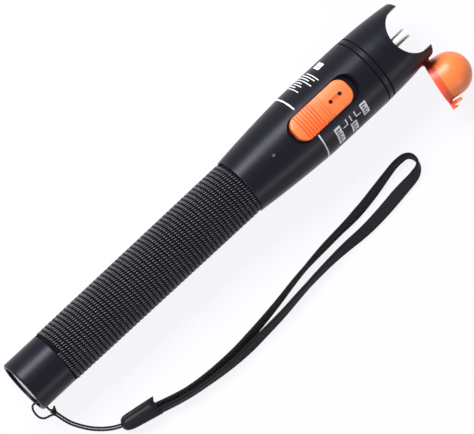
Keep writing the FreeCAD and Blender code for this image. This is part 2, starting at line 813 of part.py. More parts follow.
def smooth_path(points):
    """Straight runs joined by tangent arcs, each as large as its two runs allow, and the arcs' radii."""
    edges, radii = [], []
    begin = points[0]
    for before, corner, after in zip(points, points[1:], points[2:]):
        back, ahead = before.sub(corner), after.sub(corner)
        half_turn = (math.pi - back.getAngle(ahead)) / 2
        tangent = 0.45 * min(back.Length, ahead.Length)
        radius = tangent / math.tan(half_turn)
        back.normalize()
        ahead.normalize()
        first, last = corner + back * tangent, corner + ahead * tangent
        inward = (back + ahead).normalize()
        middle = corner + inward * (radius / math.cos(half_turn) - radius)
        edges.append(Part.LineSegment(begin, first).toShape())
        edges.append(Part.Arc(first, middle, last).toShape())
        radii.append(radius)
        begin = last
    edges.append(Part.LineSegment(begin, points[-1]).toShape())
    return Part.Wire(edges), radii


def tube(name, points, radius):
    """Round cord along a route."""
    path, radii = smooth_path(points)
    way = points[1].sub(points[0]).normalize()
    side = way.cross(Vector(0, 0, 1)).normalize()
    rise = side.cross(way)
    corners = []
    for index in range(8):
        angle = 2 * math.pi * (index + 0.5) / 8
        corners.append(points[0] + side * (radius * math.cos(angle)) + rise * (radius * math.sin(angle)))
    section = Part.makePolygon(corners + corners[:1])
    solid = path.makePipeShell([section], True, False, 2)
    share = solid.Volume / (math.pi * radius ** 2 * path.Length)
    print(f"{name}: length {path.Length:.1f}, smallest radius {min(radii):.2f}, volume share {share:.4f}")
    return solid


def on_surface(points, height):
    """Route points that lie a height above the surface."""
    return [Vector(x, y, surface_height() + height) for x, y in points]


def beside(points, offset):
    """A flat route, moved sideways by an offset."""
    moved = []
    for index, point in enumerate(points):
        before, after = points[max(index - 1, 0)], points[min(index + 1, len(points) - 1)]
        way = (after - before).normalize()
        moved.append(point + Vector(-way.y, way.x, 0) * offset)
    return moved


def wrist_string():
    """One string: out of the clip, through the knot and the tail's hole, round the loop and back."""
    middle = on_surface(strand_route, string_radius)
    out, back = (beside(middle, side * strand_spacing / 2) for side in (1, -1))
    loop = [Vector(x, y, surface_height() + z) for x, y, z in string_loop_route]
    return tube("wrist_string", out + loop + back[::-1], string_radius)


def string_knot():
    """Overhand knot, as its outer shape."""
    x, y = knot_place
    return Part.makeSphere(knot_radius, Vector(x, y, surface_height() + knot_radius))


def strap_clip():
    """Plastic clip of two shells that joins the strings to the webbing."""
    rear, front = Vector(*clip_rear, 0), Vector(*clip_front, 0)
    length = front.sub(rear).Length
    w0, w1 = clip_rear_width / 2, clip_front_width / 2
    outline = [(0, w0 * 0.55), (length * 0.12, w0), (length * 0.55, 0.4 * w0 + 0.6 * w1), (length, w1),
               (length - clip_notch_depth, w1 * 0.55)]
    points = [Vector(x, y, 0) for x, y in outline] + [Vector(x, -y, 0) for x, y in reversed(outline)]
    body = Part.Face(Part.makePolygon(points + points[:1])).extrude(Vector(0, 0, clip_thickness))
    ridge = Part.makeCylinder(0.3, length + 2, Vector(-1, 0, clip_thickness), Vector(1, 0, 0))
    body = body.cut(ridge)
    way = front.sub(rear)
    body.rotate(Vector(0, 0, 0), Vector(0, 0, 1), math.degrees(math.atan2(way.y, way.x)))
    body.translate(Vector(rear.x, rear.y, surface_height()))
    return body


def wrist_webbing():
    """Flat webbing of the wrist loop, both ends in the clip, standing on its edge."""
    points = on_surface(webbing_route, 0)
    path, radii = smooth_path(points)
    start, way = points[0], points[1].sub(points[0]).normalize()
    side = Vector(-way.y, way.x, 0) * (webbing_thickness / 2)
    corners = [start + side, start - side, start - side + Vector(0, 0, webbing_width),
               start + side + Vector(0, 0, webbing_width)]
    section = Part.makePolygon(corners + corners[:1])
    solid = path.makePipeShell([section], True, False, 2)
    share = solid.Volume / (webbing_thickness * webbing_width * path.Length)
    print(f"wrist_webbing: length {path.Length:.1f}, radii {[round(r, 1) for r in radii]}, share {share:.4f}")
    return solid


def pen_pieces():
    """Every piece of the pen, on stations."""
    return {
        "handle_tube": handle_tube(),
        "tail_disc": tail_disc(),
        "spring_plate": spring_plate(),
        "battery_spring": battery_spring(),
        "rear_cell": cell(cell_start),
        "front_cell": cell(cell_start + cell_length),
        "barrel_oring": barrel_oring(),
        "front_barrel": front_barrel(),
        "indicator_pipe": indicator_pipe(),
        "collar_ring": collar_ring(),
        "crown": crown(),
        "cap_pin": cap_pin(),
        "port_housing": port_housing(),
        "ferrule_sleeve": ferrule_sleeve(),
        "laser_barrel": laser_barrel(),
        "focus_lens": focus_lens(),
        "lens_retainer": lens_retainer(),
        "laser_diode": laser_diode(),
        "positive_contact": positive_contact(),
        "module_carrier": module_carrier(),
        "circuit_board": circuit_board(),
        "board_screws": board_screws(),
        "driver_chip": driver_chip(),
        "filter_capacitors": filter_capacitors(),
        "slide_switch": slide_switch(),
        "switch_stem": switch_stem(),
        "slide_button": slide_button(),
        "dust_cap": dust_cap(),
    }


def strap_pieces():
    """Every piece of the wrist strap, in the resting frame."""
    return {
        "wrist_string": wrist_string(),
        "string_knot": string_knot(),
        "strap_clip": strap_clip(),
        "wrist_webbing": wrist_webbing(),
    }


def main():
    """Build every piece and write one STEP file for each."""
    os.makedirs("parts", exist_ok=True)
    pieces = {name: lay_down(shape) for name, shape in pen_pieces().items()}
    pieces.update(strap_pieces())
    for name, shape in pieces.items():
        shape.exportStep(f"parts/{name}.step")
        print(f"{name}: {len(shape.Solids)} solid, {shape.Volume:.1f} mm3, valid {shape.isValid()}")
    print(f"pitch {rest_pitch:.4f}, surface {surface_height():.4f}, overall {overall_length:.2f}")


main()
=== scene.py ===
"""Looks of a visual fault locator pen: finishes, knurled grip, printed marks, wrist strap and a plain studio.

Everything is in metres, in the part's own frame: the port's mouth is the origin, +X runs out of the port
along the pen as it lies on a surface, +Y is its left side and +Z is up.  Sizes in the classes below are
millimetres, and stations are counted from the pen's tail end.
"""
import json
import logging
import math
from dataclasses import dataclass
from enum import Enum

import bpy
import numpy as np
from mathutils import Matrix, Vector
from mathutils.bvhtree import BVHTree


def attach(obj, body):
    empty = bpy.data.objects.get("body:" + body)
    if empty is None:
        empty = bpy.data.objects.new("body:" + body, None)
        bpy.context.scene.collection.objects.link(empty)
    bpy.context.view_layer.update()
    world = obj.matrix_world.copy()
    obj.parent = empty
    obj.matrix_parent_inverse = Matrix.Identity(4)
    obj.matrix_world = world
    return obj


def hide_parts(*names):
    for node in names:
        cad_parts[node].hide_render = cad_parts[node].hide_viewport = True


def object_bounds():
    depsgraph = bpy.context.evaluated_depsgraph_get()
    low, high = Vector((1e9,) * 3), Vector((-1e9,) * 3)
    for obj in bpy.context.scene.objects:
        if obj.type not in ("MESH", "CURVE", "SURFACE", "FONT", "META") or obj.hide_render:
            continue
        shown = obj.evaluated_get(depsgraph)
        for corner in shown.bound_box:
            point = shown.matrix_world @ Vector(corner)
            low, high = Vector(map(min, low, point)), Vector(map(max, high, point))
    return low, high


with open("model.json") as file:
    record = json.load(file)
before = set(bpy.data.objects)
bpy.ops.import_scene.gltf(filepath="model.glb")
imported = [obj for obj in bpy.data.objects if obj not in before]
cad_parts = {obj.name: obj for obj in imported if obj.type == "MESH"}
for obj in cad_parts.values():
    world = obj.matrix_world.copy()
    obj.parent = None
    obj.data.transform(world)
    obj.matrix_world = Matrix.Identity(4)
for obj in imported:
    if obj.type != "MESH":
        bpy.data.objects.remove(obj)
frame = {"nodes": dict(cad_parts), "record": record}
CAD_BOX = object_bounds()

MM = 0.001
LOG = logging.getLogger("locator_pen")
NODES = frame["nodes"]
PEN_AXIS = Vector(frame["record"]["mounts"][0]["axis"]).normalized()
PEN_LEFT = Vector((0.0, 1.0, 0.0))
PEN_TOP = PEN_AXIS.cross(PEN_LEFT)
MOUTH_STATION = 189.1
FLOOR = CAD_BOX[0][2]


class Body(Enum):
    """Moving bodies of the pen that a piece can ride on."""

    HANDLE = "handle"
    HEAD = "head"
    SWITCH = "switch"
    DUST_CAP = "dust_cap"


class Noise(Enum):
    """Kinds of noise that a finish can be broken up with."""

    CLOUDS = "FBM"
    RIDGES = "RIDGED_MULTIFRACTAL"


# ---------------------------------------------------------------- shader maths


class Value:
    """One shader socket with arithmetic: an expression on values adds its Math nodes."""

    def __init__(self, graph: "Graph", socket: bpy.types.NodeSocket) -> None:
        """Wrap a socket of a graph's node.

        Args:
            graph: The graph that the socket's node belongs to.
            socket: An output socket.
        """
        self.graph = graph
        self.socket = socket

    def math(self, operation: str, *operands: "Value | float") -> "Value":
        """Add one Math node.

        Args:
            operation: The Math node's operation.
            operands: Its inputs in order.

        Returns:
            The node's result.
        """
        inputs = dict(enumerate(operands))
        return self.graph.add("ShaderNodeMath", {"operation": operation}, inputs)

    def __add__(self, other: "Value | float") -> "Value":
        """Sum."""
        return self.math("ADD", self, other)

    __radd__ = __add__

    def __sub__(self, other: "Value | float") -> "Value":
        """Difference."""
        return self.math("SUBTRACT", self, other)

    def __rsub__(self, other: float) -> "Value":
        """Difference from a plain number."""
        return self.math("SUBTRACT", other, self)

    def __mul__(self, other: "Value | float") -> "Value":
        """Product."""
        return self.math("MULTIPLY", self, other)

    __rmul__ = __mul__

    def __abs__(self) -> "Value":
        """Absolute value."""
        return self.math("ABSOLUTE", self)

    def __gt__(self, limit: "Value | float") -> "Value":
        """1 where the value is above a limit."""
        return self.math("GREATER_THAN", self, limit)

    def __lt__(self, limit: "Value | float") -> "Value":
        """1 where the value is below a limit."""
        return self.math("LESS_THAN", self, limit)

    def sine(self) -> "Value":
        """Sine of the value in radians."""
        return self.math("SINE", self)

    def root(self) -> "Value":
        """Square root."""
        return self.math("SQRT", self)

    def ramp(self, low: float, high: float) -> "Value":
        """Smooth step between two values.

        Args:
            low: Where the step begins, at 0.
            high: Where it ends, at 1.

        Returns:
            The step's value.
        """
        inputs = {"Value": self, "From Min": low, "From Max": high}
        return self.graph.add("ShaderNodeMapRange", {"interpolation_type": "SMOOTHSTEP"}, inputs)

    def near(self, place: float, inner: float, outer: float) -> "Value":
        """1 within an inner distance of a place, falling smoothly to 0 at an outer distance."""
        return 1 - abs(self - place).ramp(inner, outer)


class Graph:
    """Node tree of one material, or of the world."""

    def __init__(self, name: str, of_world: bool = False) -> None:
        """Start the empty tree of a new material, or of a new world."""
        self.owner = (bpy.data.worlds if of_world else bpy.data.materials).new(name)
        self.owner.use_nodes = True
        self.tree = self.owner.node_tree
        self.tree.nodes.clear()

    def add(self, kind: str, settings: dict | None = None, inputs: dict | None = None,
            output: int | str = 0) -> Value:
        """Add a node: its settings first, then the values or links of its sockets.

        Args:
            kind: The node's type.
            settings: Its properties, such as an operation.
            inputs: Socket name or number to a Value or a plain value.
            output: Which output the returned Value wraps.

        Returns:
            The chosen output.
        """
        node = self.tree.nodes.new(kind)
        for key, setting in (settings or {}).items():
            setattr(node, key, setting)
        for key, value in (inputs or {}).items():
            if isinstance(value, Value):
                self.tree.links.new(value.socket, node.inputs[key])
            else:
                node.inputs[key].default_value = value
        return Value(self, node.outputs[output]) if node.outputs else Value(self, None)

    def place(self) -> Value:
        """The surface point in the piece's own frame, in metres."""
        return self.add("ShaderNodeTexCoord", output="Object")

    def seen(self) -> Value:
        """1 for rays that show the surface straight, mirrored or through glass."""
        paths = self.add("ShaderNodeLightPath").socket.node.outputs
        camera, glossy, through = (Value(self, paths[name]) for name in (
            "Is Camera Ray", "Is Glossy Ray", "Is Transmission Ray"))
        return camera + glossy + through > 0.5

    def along(self, direction: Vector) -> Value:
        """Distance of the surface point along a direction from the origin, in metres."""
        settings = {"operation": "DOT_PRODUCT"}
        return self.add("ShaderNodeVectorMath", settings, {0: self.place(), 1: tuple(direction)}, "Value")

    def station(self) -> Value:
        """Station of the surface point, in millimetres from the tail end."""
        return self.along(PEN_AXIS) * (1 / MM) + MOUTH_STATION

    def radius(self) -> Value:
        """Distance of the surface point from the pen's axis, in millimetres."""
        across, upward = self.along(PEN_LEFT), self.along(PEN_TOP)
        return (across * across + upward * upward).root() * (1 / MM)

    def noise(self, size: float, detail: float = 3.0, kind: Noise = Noise.CLOUDS) -> Value:
        """Noise about 0.5 with features of a size in millimetres.

        Args:
            size: Feature size in millimetres.
            detail: Octaves of finer noise.
            kind: Which fractal.

        Returns:
            The noise's value.
        """
        inputs = {"Vector": self.place(), "Scale": 1 / (size * MM), "Detail": detail}
        return self.add("ShaderNodeTexNoise", {"noise_type": kind.value}, inputs)

    def mix(self, factor: Value | float, first: Value | tuple, second: Value | tuple) -> Value:
        """Blend two colours.

        Args:
            factor: 0 gives the first and 1 the second.
            first: Colour as three numbers, or a Value.
            second: Colour as three numbers, or a Value.

        Returns:
            The blended colour.
        """
        ends = [(*end, 1.0) if isinstance(end, tuple) else end for end in (first, second)]
        return self.add("ShaderNodeMix", {"data_type": "RGBA"}, {0: factor, 6: ends[0], 7: ends[1]}, 2)

    def bump(self, height: Value, depth: float) -> Value:
        """Normal of a surface with relief.

        Args:
            height: Relief from 0 to 1.
            depth: Depth of the relief in millimetres.

        Returns:
            The normal.
        """
        return self.add("ShaderNodeBump", {}, {"Height": height, "Distance": depth * MM})

    def finish(self, inputs: dict) -> bpy.types.Material:
        """Close the tree with a Principled shader.

        Args:
            inputs: The shader's sockets and their values.

        Returns:
            The material.
        """
        shader = self.add("ShaderNodeBsdfPrincipled", {}, inputs)
        self.add("ShaderNodeOutputMaterial", {}, {"Surface": shader})
        return self.owner


def rgba(colour: tuple) -> tuple:
    """A colour with full alpha."""
    return (*colour, 1.0)


# ---------------------------------------------------------------- finishes


@dataclass(frozen=True)
class SatinBlack:
    """Blasted black anodised aluminium, brighter where edges rub, with painted shade in the collar's two
    grooves and in the grooves between the knurl's pads.
    """

    name: str = "satin_black"
    colour: tuple = (0.003, 0.003, 0.006)
    worn: tuple = (0.05, 0.05, 0.06)
    roughness: float = 0.34
    blast_size: float = 0.16
    blast_depth: float = 0.006
    rubbed_stations: tuple = (0.0, 105.6, 191.0)
    rub_width: float = 0.35
    # painted shade: the collar's two grooves are darkened as if in shadow
    groove_shade_stations: tuple = (166.8, 169.3)
    groove_shade_width: float = 0.42
    # painted shade: the stretch under the knurl, darkened as the grooves between its pads
    knurl_shade_stretch: tuple = (0.0, 0.0)
    # painted shade: the colour of the darkened grooves
    dark: tuple = (0.001, 0.001, 0.001)

    def build(self) -> bpy.types.Material:
        """Make the material."""
        graph = Graph(self.name)
        blast = graph.noise(self.blast_size, 2.0)
        cloud = graph.noise(9.0, 4.0)
        station = graph.station()
        rubbed: Value | float = 0.0
        for place in self.rubbed_stations:
            rubbed = station.near(place, 0.0, self.rub_width) + rubbed
        rubbed = rubbed * graph.noise(0.9, 3.0).ramp(0.35, 0.7)
        # painted shade: darker and rougher under the knurl and in the collar's grooves
        painted_shade = (station > self.knurl_shade_stretch[0]) * (station < self.knurl_shade_stretch[1])
        for place in self.groove_shade_stations:
            painted_shade = station.near(place, self.groove_shade_width * 0.7, self.groove_shade_width) + painted_shade
        colour = graph.mix(rubbed * 0.8, self.colour, self.worn)
        return graph.finish({
            "Base Color": graph.mix(painted_shade, colour, self.dark),
            "Roughness": self.roughness + (cloud - 0.5) * 0.12 + (blast - 0.5) * 0.1 + painted_shade * 0.6,
            "Normal": graph.bump(blast, self.blast_depth),
            "Specular IOR Level": 0.18,
            "Specular Tint": rgba((0.87, 0.87, 1.0)),
        })


@dataclass(frozen=True)
class KnurlBlack:
    """Anodised knurling, polished by the hand on its tops."""

    name: str = "knurl_black"
    colour: tuple = (0.004, 0.004, 0.006)
    top: tuple = (0.02, 0.02, 0.025)

    def build(self) -> bpy.types.Material:
        """Make the material."""
        graph = Graph(self.name)
        grain = graph.noise(0.25, 3.0)
        touch = graph.noise(14.0, 3.0).ramp(0.3, 0.75)
        return graph.finish({
            "Base Color": graph.mix(touch * grain, self.colour, self.top),
            "Roughness": 0.3 + (grain - 0.5) * 0.2,
            "Normal": graph.bump(grain, 0.01),
            "Specular IOR Level": 0.6,
            "Specular Tint": rgba((0.92, 0.92, 1.0)),
        })


@dataclass(frozen=True)
class TurnedMetal:
    """Bare metal with the fine rings of a lathe about the pen's axis."""

    name: str
    colour: tuple
    roughness: float
    ring_pitch: float = 0.11
    ring_depth: float = 0.002
    tarnish: float = 0.25

    def build(self) -> bpy.types.Material:
        """Make the material."""
        graph = Graph(self.name)
        spread = graph.radius() + graph.station()
        rings = (spread * (2 * math.pi / self.ring_pitch)).sine() * 0.5 + 0.5
        stain = graph.noise(3.5, 4.0).ramp(0.35, 0.8)
        dull = tuple(part * 0.72 for part in self.colour)
        return graph.finish({
            "Base Color": graph.mix(stain * self.tarnish, self.colour, dull),
            "Metallic": 1.0,
            "Roughness": self.roughness + stain * 0.1 + rings * 0.04,
            "Normal": graph.bump(rings * 0.7 + graph.noise(0.3) * 0.3, self.ring_depth),
        })


@dataclass(frozen=True)
class Moulded:
    """Moulded plastic or rubber with a fine spark-eroded grain and uneven colour."""

    name: str
    colour: tuple
    deep_tone_and_shade: tuple
    roughness: float = 0.42
    grain_size: float = 0.22
    grain_depth: float = 0.008
    cloud_size: float = 6.0
    shine: float = 0.5

    def build(self) -> bpy.types.Material:
        """Make the material."""
        graph = Graph(self.name)
        grain = graph.noise(self.grain_size, 2.0)
        cloud = graph.noise(self.cloud_size, 3.0).ramp(0.3, 0.75)
        return graph.finish({
            "Base Color": graph.mix(cloud, self.colour, self.deep_tone_and_shade),
            "Roughness": self.roughness + (grain - 0.5) * 0.12,
            "Normal": graph.bump(grain, self.grain_depth),
            "Specular IOR Level": self.shine,
        })


@dataclass(frozen=True)
class CapRubber:
    """Soft orange moulding of the dust cap, thinner at its rim, with a painted redder glow there for light
    through the thin rubber and painted shade in the two steps of its flange.
    """

    rim: Vector
    axis: Vector
    name: str = "cap_orange"
    dome: tuple = (1.0, 0.235, 0.05)
    cloudy: tuple = (0.98, 0.17, 0.04)
    # painted glow: redder colour of the rim band, for light through the thin rubber
    rim_glow: tuple = (1.0, 0.1, 0.035)
    # painted shade: colour of the two dark lines in the flange's steps
    line: tuple = (0.35, 0.03, 0.012)
    rim_glow_width: float = 2.2
    step_shade_depths: tuple = (1.67, 2.55)

    def build(self) -> bpy.types.Material:
        """Make the material."""
        graph = Graph(self.name)
        depth = (graph.along(self.axis) - self.rim.dot(self.axis)) * (1 / MM)
        # painted glow: mask of the redder band near the rim
        rim_glow_mask = 1 - depth.ramp(self.rim_glow_width, self.rim_glow_width + 1.0)
        lower, upper = self.step_shade_depths
        # painted shade: mask of the two dark lines at the flange's steps
        lines = 1 - abs(depth - lower).ramp(0.1, 0.2) * abs(depth - upper).ramp(0.12, 0.24)
        grain = graph.noise(0.35, 2.0)
        cloud = graph.noise(7.0, 3.0).ramp(0.35, 0.8)
        soft = graph.mix(cloud * 0.35, self.dome, self.cloudy)
        with_rim_glow = graph.mix(rim_glow_mask * 0.9, soft, self.rim_glow)
        return graph.finish({
            # painted shade of the flange's steps over the rim's painted glow
            "Base Color": graph.mix(lines * 0.6, with_rim_glow, self.line),
            "Roughness": 0.38 + (grain - 0.5) * 0.1,
            "Normal": graph.bump(grain, 0.006),
            "Subsurface Weight": 0.12,
            "Subsurface Radius": (0.004, 0.0012, 0.0006),
            "Subsurface Scale": 1.0,
        })


@dataclass(frozen=True)
class ButtonPlastic:
    """Orange plastic of the thumb button, with painted shade in its rib grooves, in the recess between its
    two holes and inside the holes.
    """

    name: str = "button_orange"
    colour: tuple = (0.97, 0.205, 0.052)
    cloudy: tuple = (0.93, 0.15, 0.038)
    # painted shade: darker orange in the rib grooves and in the recess between the holes
    deep_tone_and_shade: tuple = (0.85, 0.09, 0.018)
    # painted shade: dark colour inside the two holes
    hole_shade: tuple = (0.06, 0.006, 0.004)
    first_rib: float = 133.45
    rib_pitch: float = 1.25
    rib_count: int = 10
    channel: tuple = (146.9, 152.4)
    holes: tuple = (147.4, 151.9)
    hole_radius: float = 0.78
    skirt_level: float = 12.0

    def build(self) -> bpy.types.Material:
        """Make the material."""
        graph = Graph(self.name)
        station = graph.station()
        left, level = graph.along(PEN_LEFT) * (1 / MM), graph.along(PEN_TOP) * (1 / MM)
        half_run = self.rib_pitch * (self.rib_count - 1) / 2
        turn = (station - self.first_rib) * (2 * math.pi / self.rib_pitch) + math.pi / 2
        on_ribs = station.near(self.first_rib + half_run, half_run + 0.3, half_run + 0.5)
        # painted shade: mask of the rib grooves
        grooves = (turn.sine() * 0.5 + 0.5).ramp(0.72, 0.95) * on_ribs
        middle, reach = sum(self.channel) / 2, (self.channel[1] - self.channel[0]) / 2
        # painted shade: mask of the recess between the two holes
        between = station.near(middle, reach - 0.4, reach) * left.near(0.0, 0.7, 1.0)
        # painted shade: mask of the two holes
        hole: Value | float = 0.0
        for place in self.holes:
            offset = station - place
            hole = ((offset * offset + left * left).root() < self.hole_radius) + hole
        grain = graph.noise(0.3, 2.0)
        cloud = graph.noise(5.0, 3.0).ramp(0.3, 0.75)
        soft = graph.mix(cloud * 0.5, self.colour, self.cloudy)
        # painted shade of the grooves and the recess over the plastic's cloudy tone
        deeper = graph.mix(grooves * 0.8 + between * 0.6, soft, self.deep_tone_and_shade)
        return graph.finish({
            "Base Color": graph.mix(hole, deeper, self.hole_shade),
            "Roughness": 0.4 + (grain - 0.5) * 0.12 + (level < self.skirt_level) * 0.2,
            "Normal": graph.bump(grain, 0.01),
            "Subsurface Weight": 0.05,
            "Subsurface Radius": (0.004, 0.0015, 0.0008),
            "Subsurface Scale": 1.0,
        })


@dataclass(frozen=True)
class CellWrap:
    """Printed foil wrap of a battery cell with bare steel ends."""

    name: str = "cell_wrap"
    wrap: tuple = (0.05, 0.11, 0.2)
    steel: tuple = (0.7, 0.7, 0.72)
    cell_radius: float = 7.25

    def build(self) -> bpy.types.Material:
        """Make the material."""
        graph = Graph(self.name)
        wrapped = graph.radius() > self.cell_radius - 0.05
        scuff = graph.noise(1.2, 4.0).ramp(0.45, 0.8)
        return graph.finish({
            "Base Color": graph.mix(wrapped * (1 - scuff * 0.3), self.steel, self.wrap),
            "Metallic": 1 - wrapped * 0.4,
            "Roughness": 0.25 + scuff * 0.2,
            "Normal": graph.bump(scuff, 0.01),
        })


@dataclass(frozen=True)
class BoardLacquer:
    """Green solder lacquer with faint copper runs under it."""

    name: str = "board_lacquer"

    def build(self) -> bpy.types.Material:
        """Make the material."""
        graph = Graph(self.name)
        runs = (graph.along(PEN_LEFT) * (2 * math.pi / (1.27 * MM))).sine().ramp(0.4, 0.6)
        patches = graph.noise(4.0, 0.0).ramp(0.48, 0.52)
        return graph.finish({
            "Base Color": graph.mix(runs * patches, (0.01, 0.1, 0.035), (0.05, 0.2, 0.08)),
            "Roughness": 0.3 + graph.noise(0.6) * 0.1,
            "Normal": graph.bump(runs * patches, 0.02),
            "Coat Weight": 0.3,
        })


@dataclass(frozen=True)
class Clear:
    """Polished glass or light guide with faint haze."""

    name: str
    colour: tuple = (0.95, 0.97, 1.0)
    transmission: float = 0.9

    def build(self) -> bpy.types.Material:
        """Make the material."""
        graph = Graph(self.name)
        haze = graph.noise(1.5, 3.0).ramp(0.4, 0.8)
        return graph.finish({
            "Base Color": graph.mix(haze * 0.2, self.colour, (0.8, 0.84, 0.88)),
            "Roughness": 0.03 + haze * 0.06,
            "Transmission Weight": self.transmission,
            "IOR": 1.5,
        })


@dataclass(frozen=True)
class PrintedInk:
    """Pad-printed ink, thin in places."""

    name: str = "printed_white"
    colour: tuple = (0.9, 0.9, 0.92)
    thin_colour: tuple = (0.55, 0.55, 0.58)

    def build(self) -> bpy.types.Material:
        """Make the material."""
        graph = Graph(self.name)
        thin = graph.noise(0.5, 4.0).ramp(0.45, 0.85)
        return graph.finish({
            "Base Color": graph.mix(thin * 0.35, self.colour, self.thin_colour),
            "Roughness": 0.5 + thin * 0.15,
            "Normal": graph.bump(thin, 0.004),
        })


@dataclass(frozen=True)
class Weave:
    """Woven black webbing: cross ribs over fine warp lines, and bound edges; its colour is lighter on the
    thread crests, a painted highlight, over the threads' uneven tone, and darker towards the edges.
    """

    name: str = "webbing_weave"
    half_width: float = 2.5
    rib_pitch: float = 0.85
    warp_pitch: float = 0.5
    dark: tuple = (0.002, 0.002, 0.003)
    # painted highlight: colour of the thread crests
    light: tuple = (0.04, 0.04, 0.045)

    def build(self) -> bpy.types.Material:
        """Make the material."""
        graph = Graph(self.name)
        lay = graph.add("ShaderNodeAttribute", {"attribute_name": "lay"}, output="Vector")
        parts = graph.add("ShaderNodeSeparateXYZ", {}, {0: lay})
        along, across = parts, Value(graph, parts.socket.node.outputs[1])
        warp = (across * (2 * math.pi / self.warp_pitch)).sine()
        ribs = (along * (2 * math.pi / self.rib_pitch) + warp * 1.3).sine() * 0.5 + 0.5
        threads = ribs * 0.65 + (warp * 0.5 + 0.5) * 0.35
        fuzz = graph.noise(0.12, 3.0)
        edge = abs(across).ramp(self.half_width - 0.55, self.half_width - 0.25)
        # painted highlight on the thread crests, with the threads' own uneven tone, darker towards the edges
        shade = (threads * 0.8 + (fuzz - 0.5) * 0.5) * (1 - edge * 0.6)
        return graph.finish({
            "Base Color": graph.mix(shade, self.dark, self.light),
            "Roughness": 0.85 - threads * 0.15,
            "Normal": graph.bump(threads + fuzz * 0.25, 0.09),
            "Specular IOR Level": 0.15,
            "Sheen Weight": 0.05,
            "Sheen Roughness": 0.4,
        })


@dataclass(frozen=True)
class CordThread:
    """Braided nylon string."""

    name: str = "cord_thread"

    def build(self) -> bpy.types.Material:
        """Make the material."""
        graph = Graph(self.name)
        fibres = graph.noise(0.09, 3.0, Noise.RIDGES)
        return graph.finish({
            "Base Color": graph.mix(fibres.ramp(0.2, 0.9), (0.006, 0.006, 0.007), (0.03, 0.03, 0.034)),
            "Roughness": 0.6 + fibres * 0.1,
            "Normal": graph.bump(fibres, 0.02),
            "Specular IOR Level": 0.2,
            "Sheen Weight": 0.05,
        })


# ---------------------------------------------------------------- mesh helpers


def on_pen(station: float, left: float, top: float) -> Vector:
    """Point of the pen, from its station and its offsets to the left and the top, in millimetres."""
    return (PEN_AXIS * (station - MOUTH_STATION) + PEN_LEFT * left + PEN_TOP * top) * MM


def on_floor(x: float, y: float, height: float = 0.0) -> Vector:
    """Point over the surface that the pen lies on, from its place in the part's frame, in millimetres."""
    return Vector((x * MM, y * MM, FLOOR + height * MM))


def mesh_object(name: str, points: list, faces: list, material: bpy.types.Material,
                smooth: bool = True) -> bpy.types.Object:
    """Make an object from points and faces.

    Args:
        name: The piece's name.
        points: Points in metres.
        faces: Tuples of point numbers.
        material: Its finish.
        smooth: Whether its faces shade smoothly.

    Returns:
        The new object.
    """
    data = bpy.data.meshes.new(name)
    data.from_pydata([tuple(point) for point in points], [], faces)
    data.polygons.foreach_set("use_smooth", [smooth] * len(data.polygons))
    data.materials.append(material)
    data.update()
    piece = bpy.data.objects.new(name, data)
    bpy.context.scene.collection.objects.link(piece)
    return piece


def spline_points(route: list, samples: int) -> list:
    """Points along the smooth line of a route, evenly spaced.

    Args:
        route: Control points in metres.
        samples: How many points to return.

    Returns:
        The points, first to last.
    """
    curve = bpy.data.curves.new("route", "CURVE")
    curve.dimensions = "3D"
    curve.resolution_u = 24
    spline = curve.splines.new("NURBS")
    spline.points.add(len(route) - 1)
    for point, place in zip(spline.points, route):
        point.co = (*place, 1.0)
    spline.order_u = 3
    spline.use_endpoint_u = True
    holder = bpy.data.objects.new("route", curve)
    line = bpy.data.meshes.new_from_object(holder)
    dense = np.array([vertex.co for vertex in line.vertices])
    steps = np.concatenate([[0.0], np.cumsum(np.linalg.norm(np.diff(dense, axis=0), axis=1))])
    wanted = np.linspace(0.0, steps[-1], samples)
    even = np.stack([np.interp(wanted, steps, dense[:, axis]) for axis in range(3)], axis=1)
    bpy.data.objects.remove(holder)
    bpy.data.curves.remove(curve)
    bpy.data.meshes.remove(line)
    return [Vector(place) for place in even]


def route_length(path: list) -> float:
    """Length of a path of points."""
    return sum((after - before).length for before, after in zip(path, path[1:]))


def band_faces(rings: int, count: int, first: int = 0) -> list:
    """Faces between closed rings of points that follow one another.

    Args:
        rings: How many rings there are.
        count: Points in a ring.
        first: Number of the first point.

    Returns:
        Tuples of point numbers.
    """
    faces = []
    for low in range(first, first + (rings - 1) * count, count):
        for index in range(count):
            after = (index + 1) % count
            faces.append((low + index, low + after, low + count + after, low + count + index))
    return faces


def tube_faces(rings: int, count: int, first: int = 0) -> list:
    """Faces of a tube: the bands between its rings, and both ends."""
    last = first + (rings - 1) * count
    ends = [tuple(range(first, first + count))[::-1], tuple(range(last, last + count))]
    return band_faces(rings, count, first) + ends


def surface_of(node: str) -> BVHTree:
    """Surface of a node, for casting rays on it."""
    data = NODES[node].data
    return BVHTree.FromPolygons([vertex.co.copy() for vertex in data.vertices],
                                [tuple(polygon.vertices) for polygon in data.polygons])


def sweep(name: str, path: list, sections: list, sides: list,
          material: bpy.types.Material) -> bpy.types.Object:
    """Skin a tube over a path.

    Args:
        name: The piece's name.
        path: Points of the centreline.
        sections: For each point, outline points as (sideways, upward) offsets in metres.
        sides: For each point, the unit vectors that sideways and upward stand for.
        material: Its finish.

    Returns:
        The tube, with its ends closed.
    """
    points = []
    for place, section, (side, upward) in zip(path, sections, sides):
        points += [place + side * across + upward * height for across, height in section]
    return mesh_object(name, points, tube_faces(len(path), len(sections[0])), material)


def carried_frames(path: list, start: Vector) -> list:
    """Side and up vectors carried along a path without twist.

    Args:
        path: Points of the centreline.
        start: A first side direction.

    Returns:
        A pair of unit vectors for each point.
    """
    frames = []
    side = start
    for index in range(len(path)):
        tangent = (path[min(index + 1, len(path) - 1)] - path[max(index - 1, 0)]).normalized()
        side = (side - tangent * side.dot(tangent)).normalized()
        frames.append((side, tangent.cross(side)))
    return frames


# ---------------------------------------------------------------- sub-assemblies


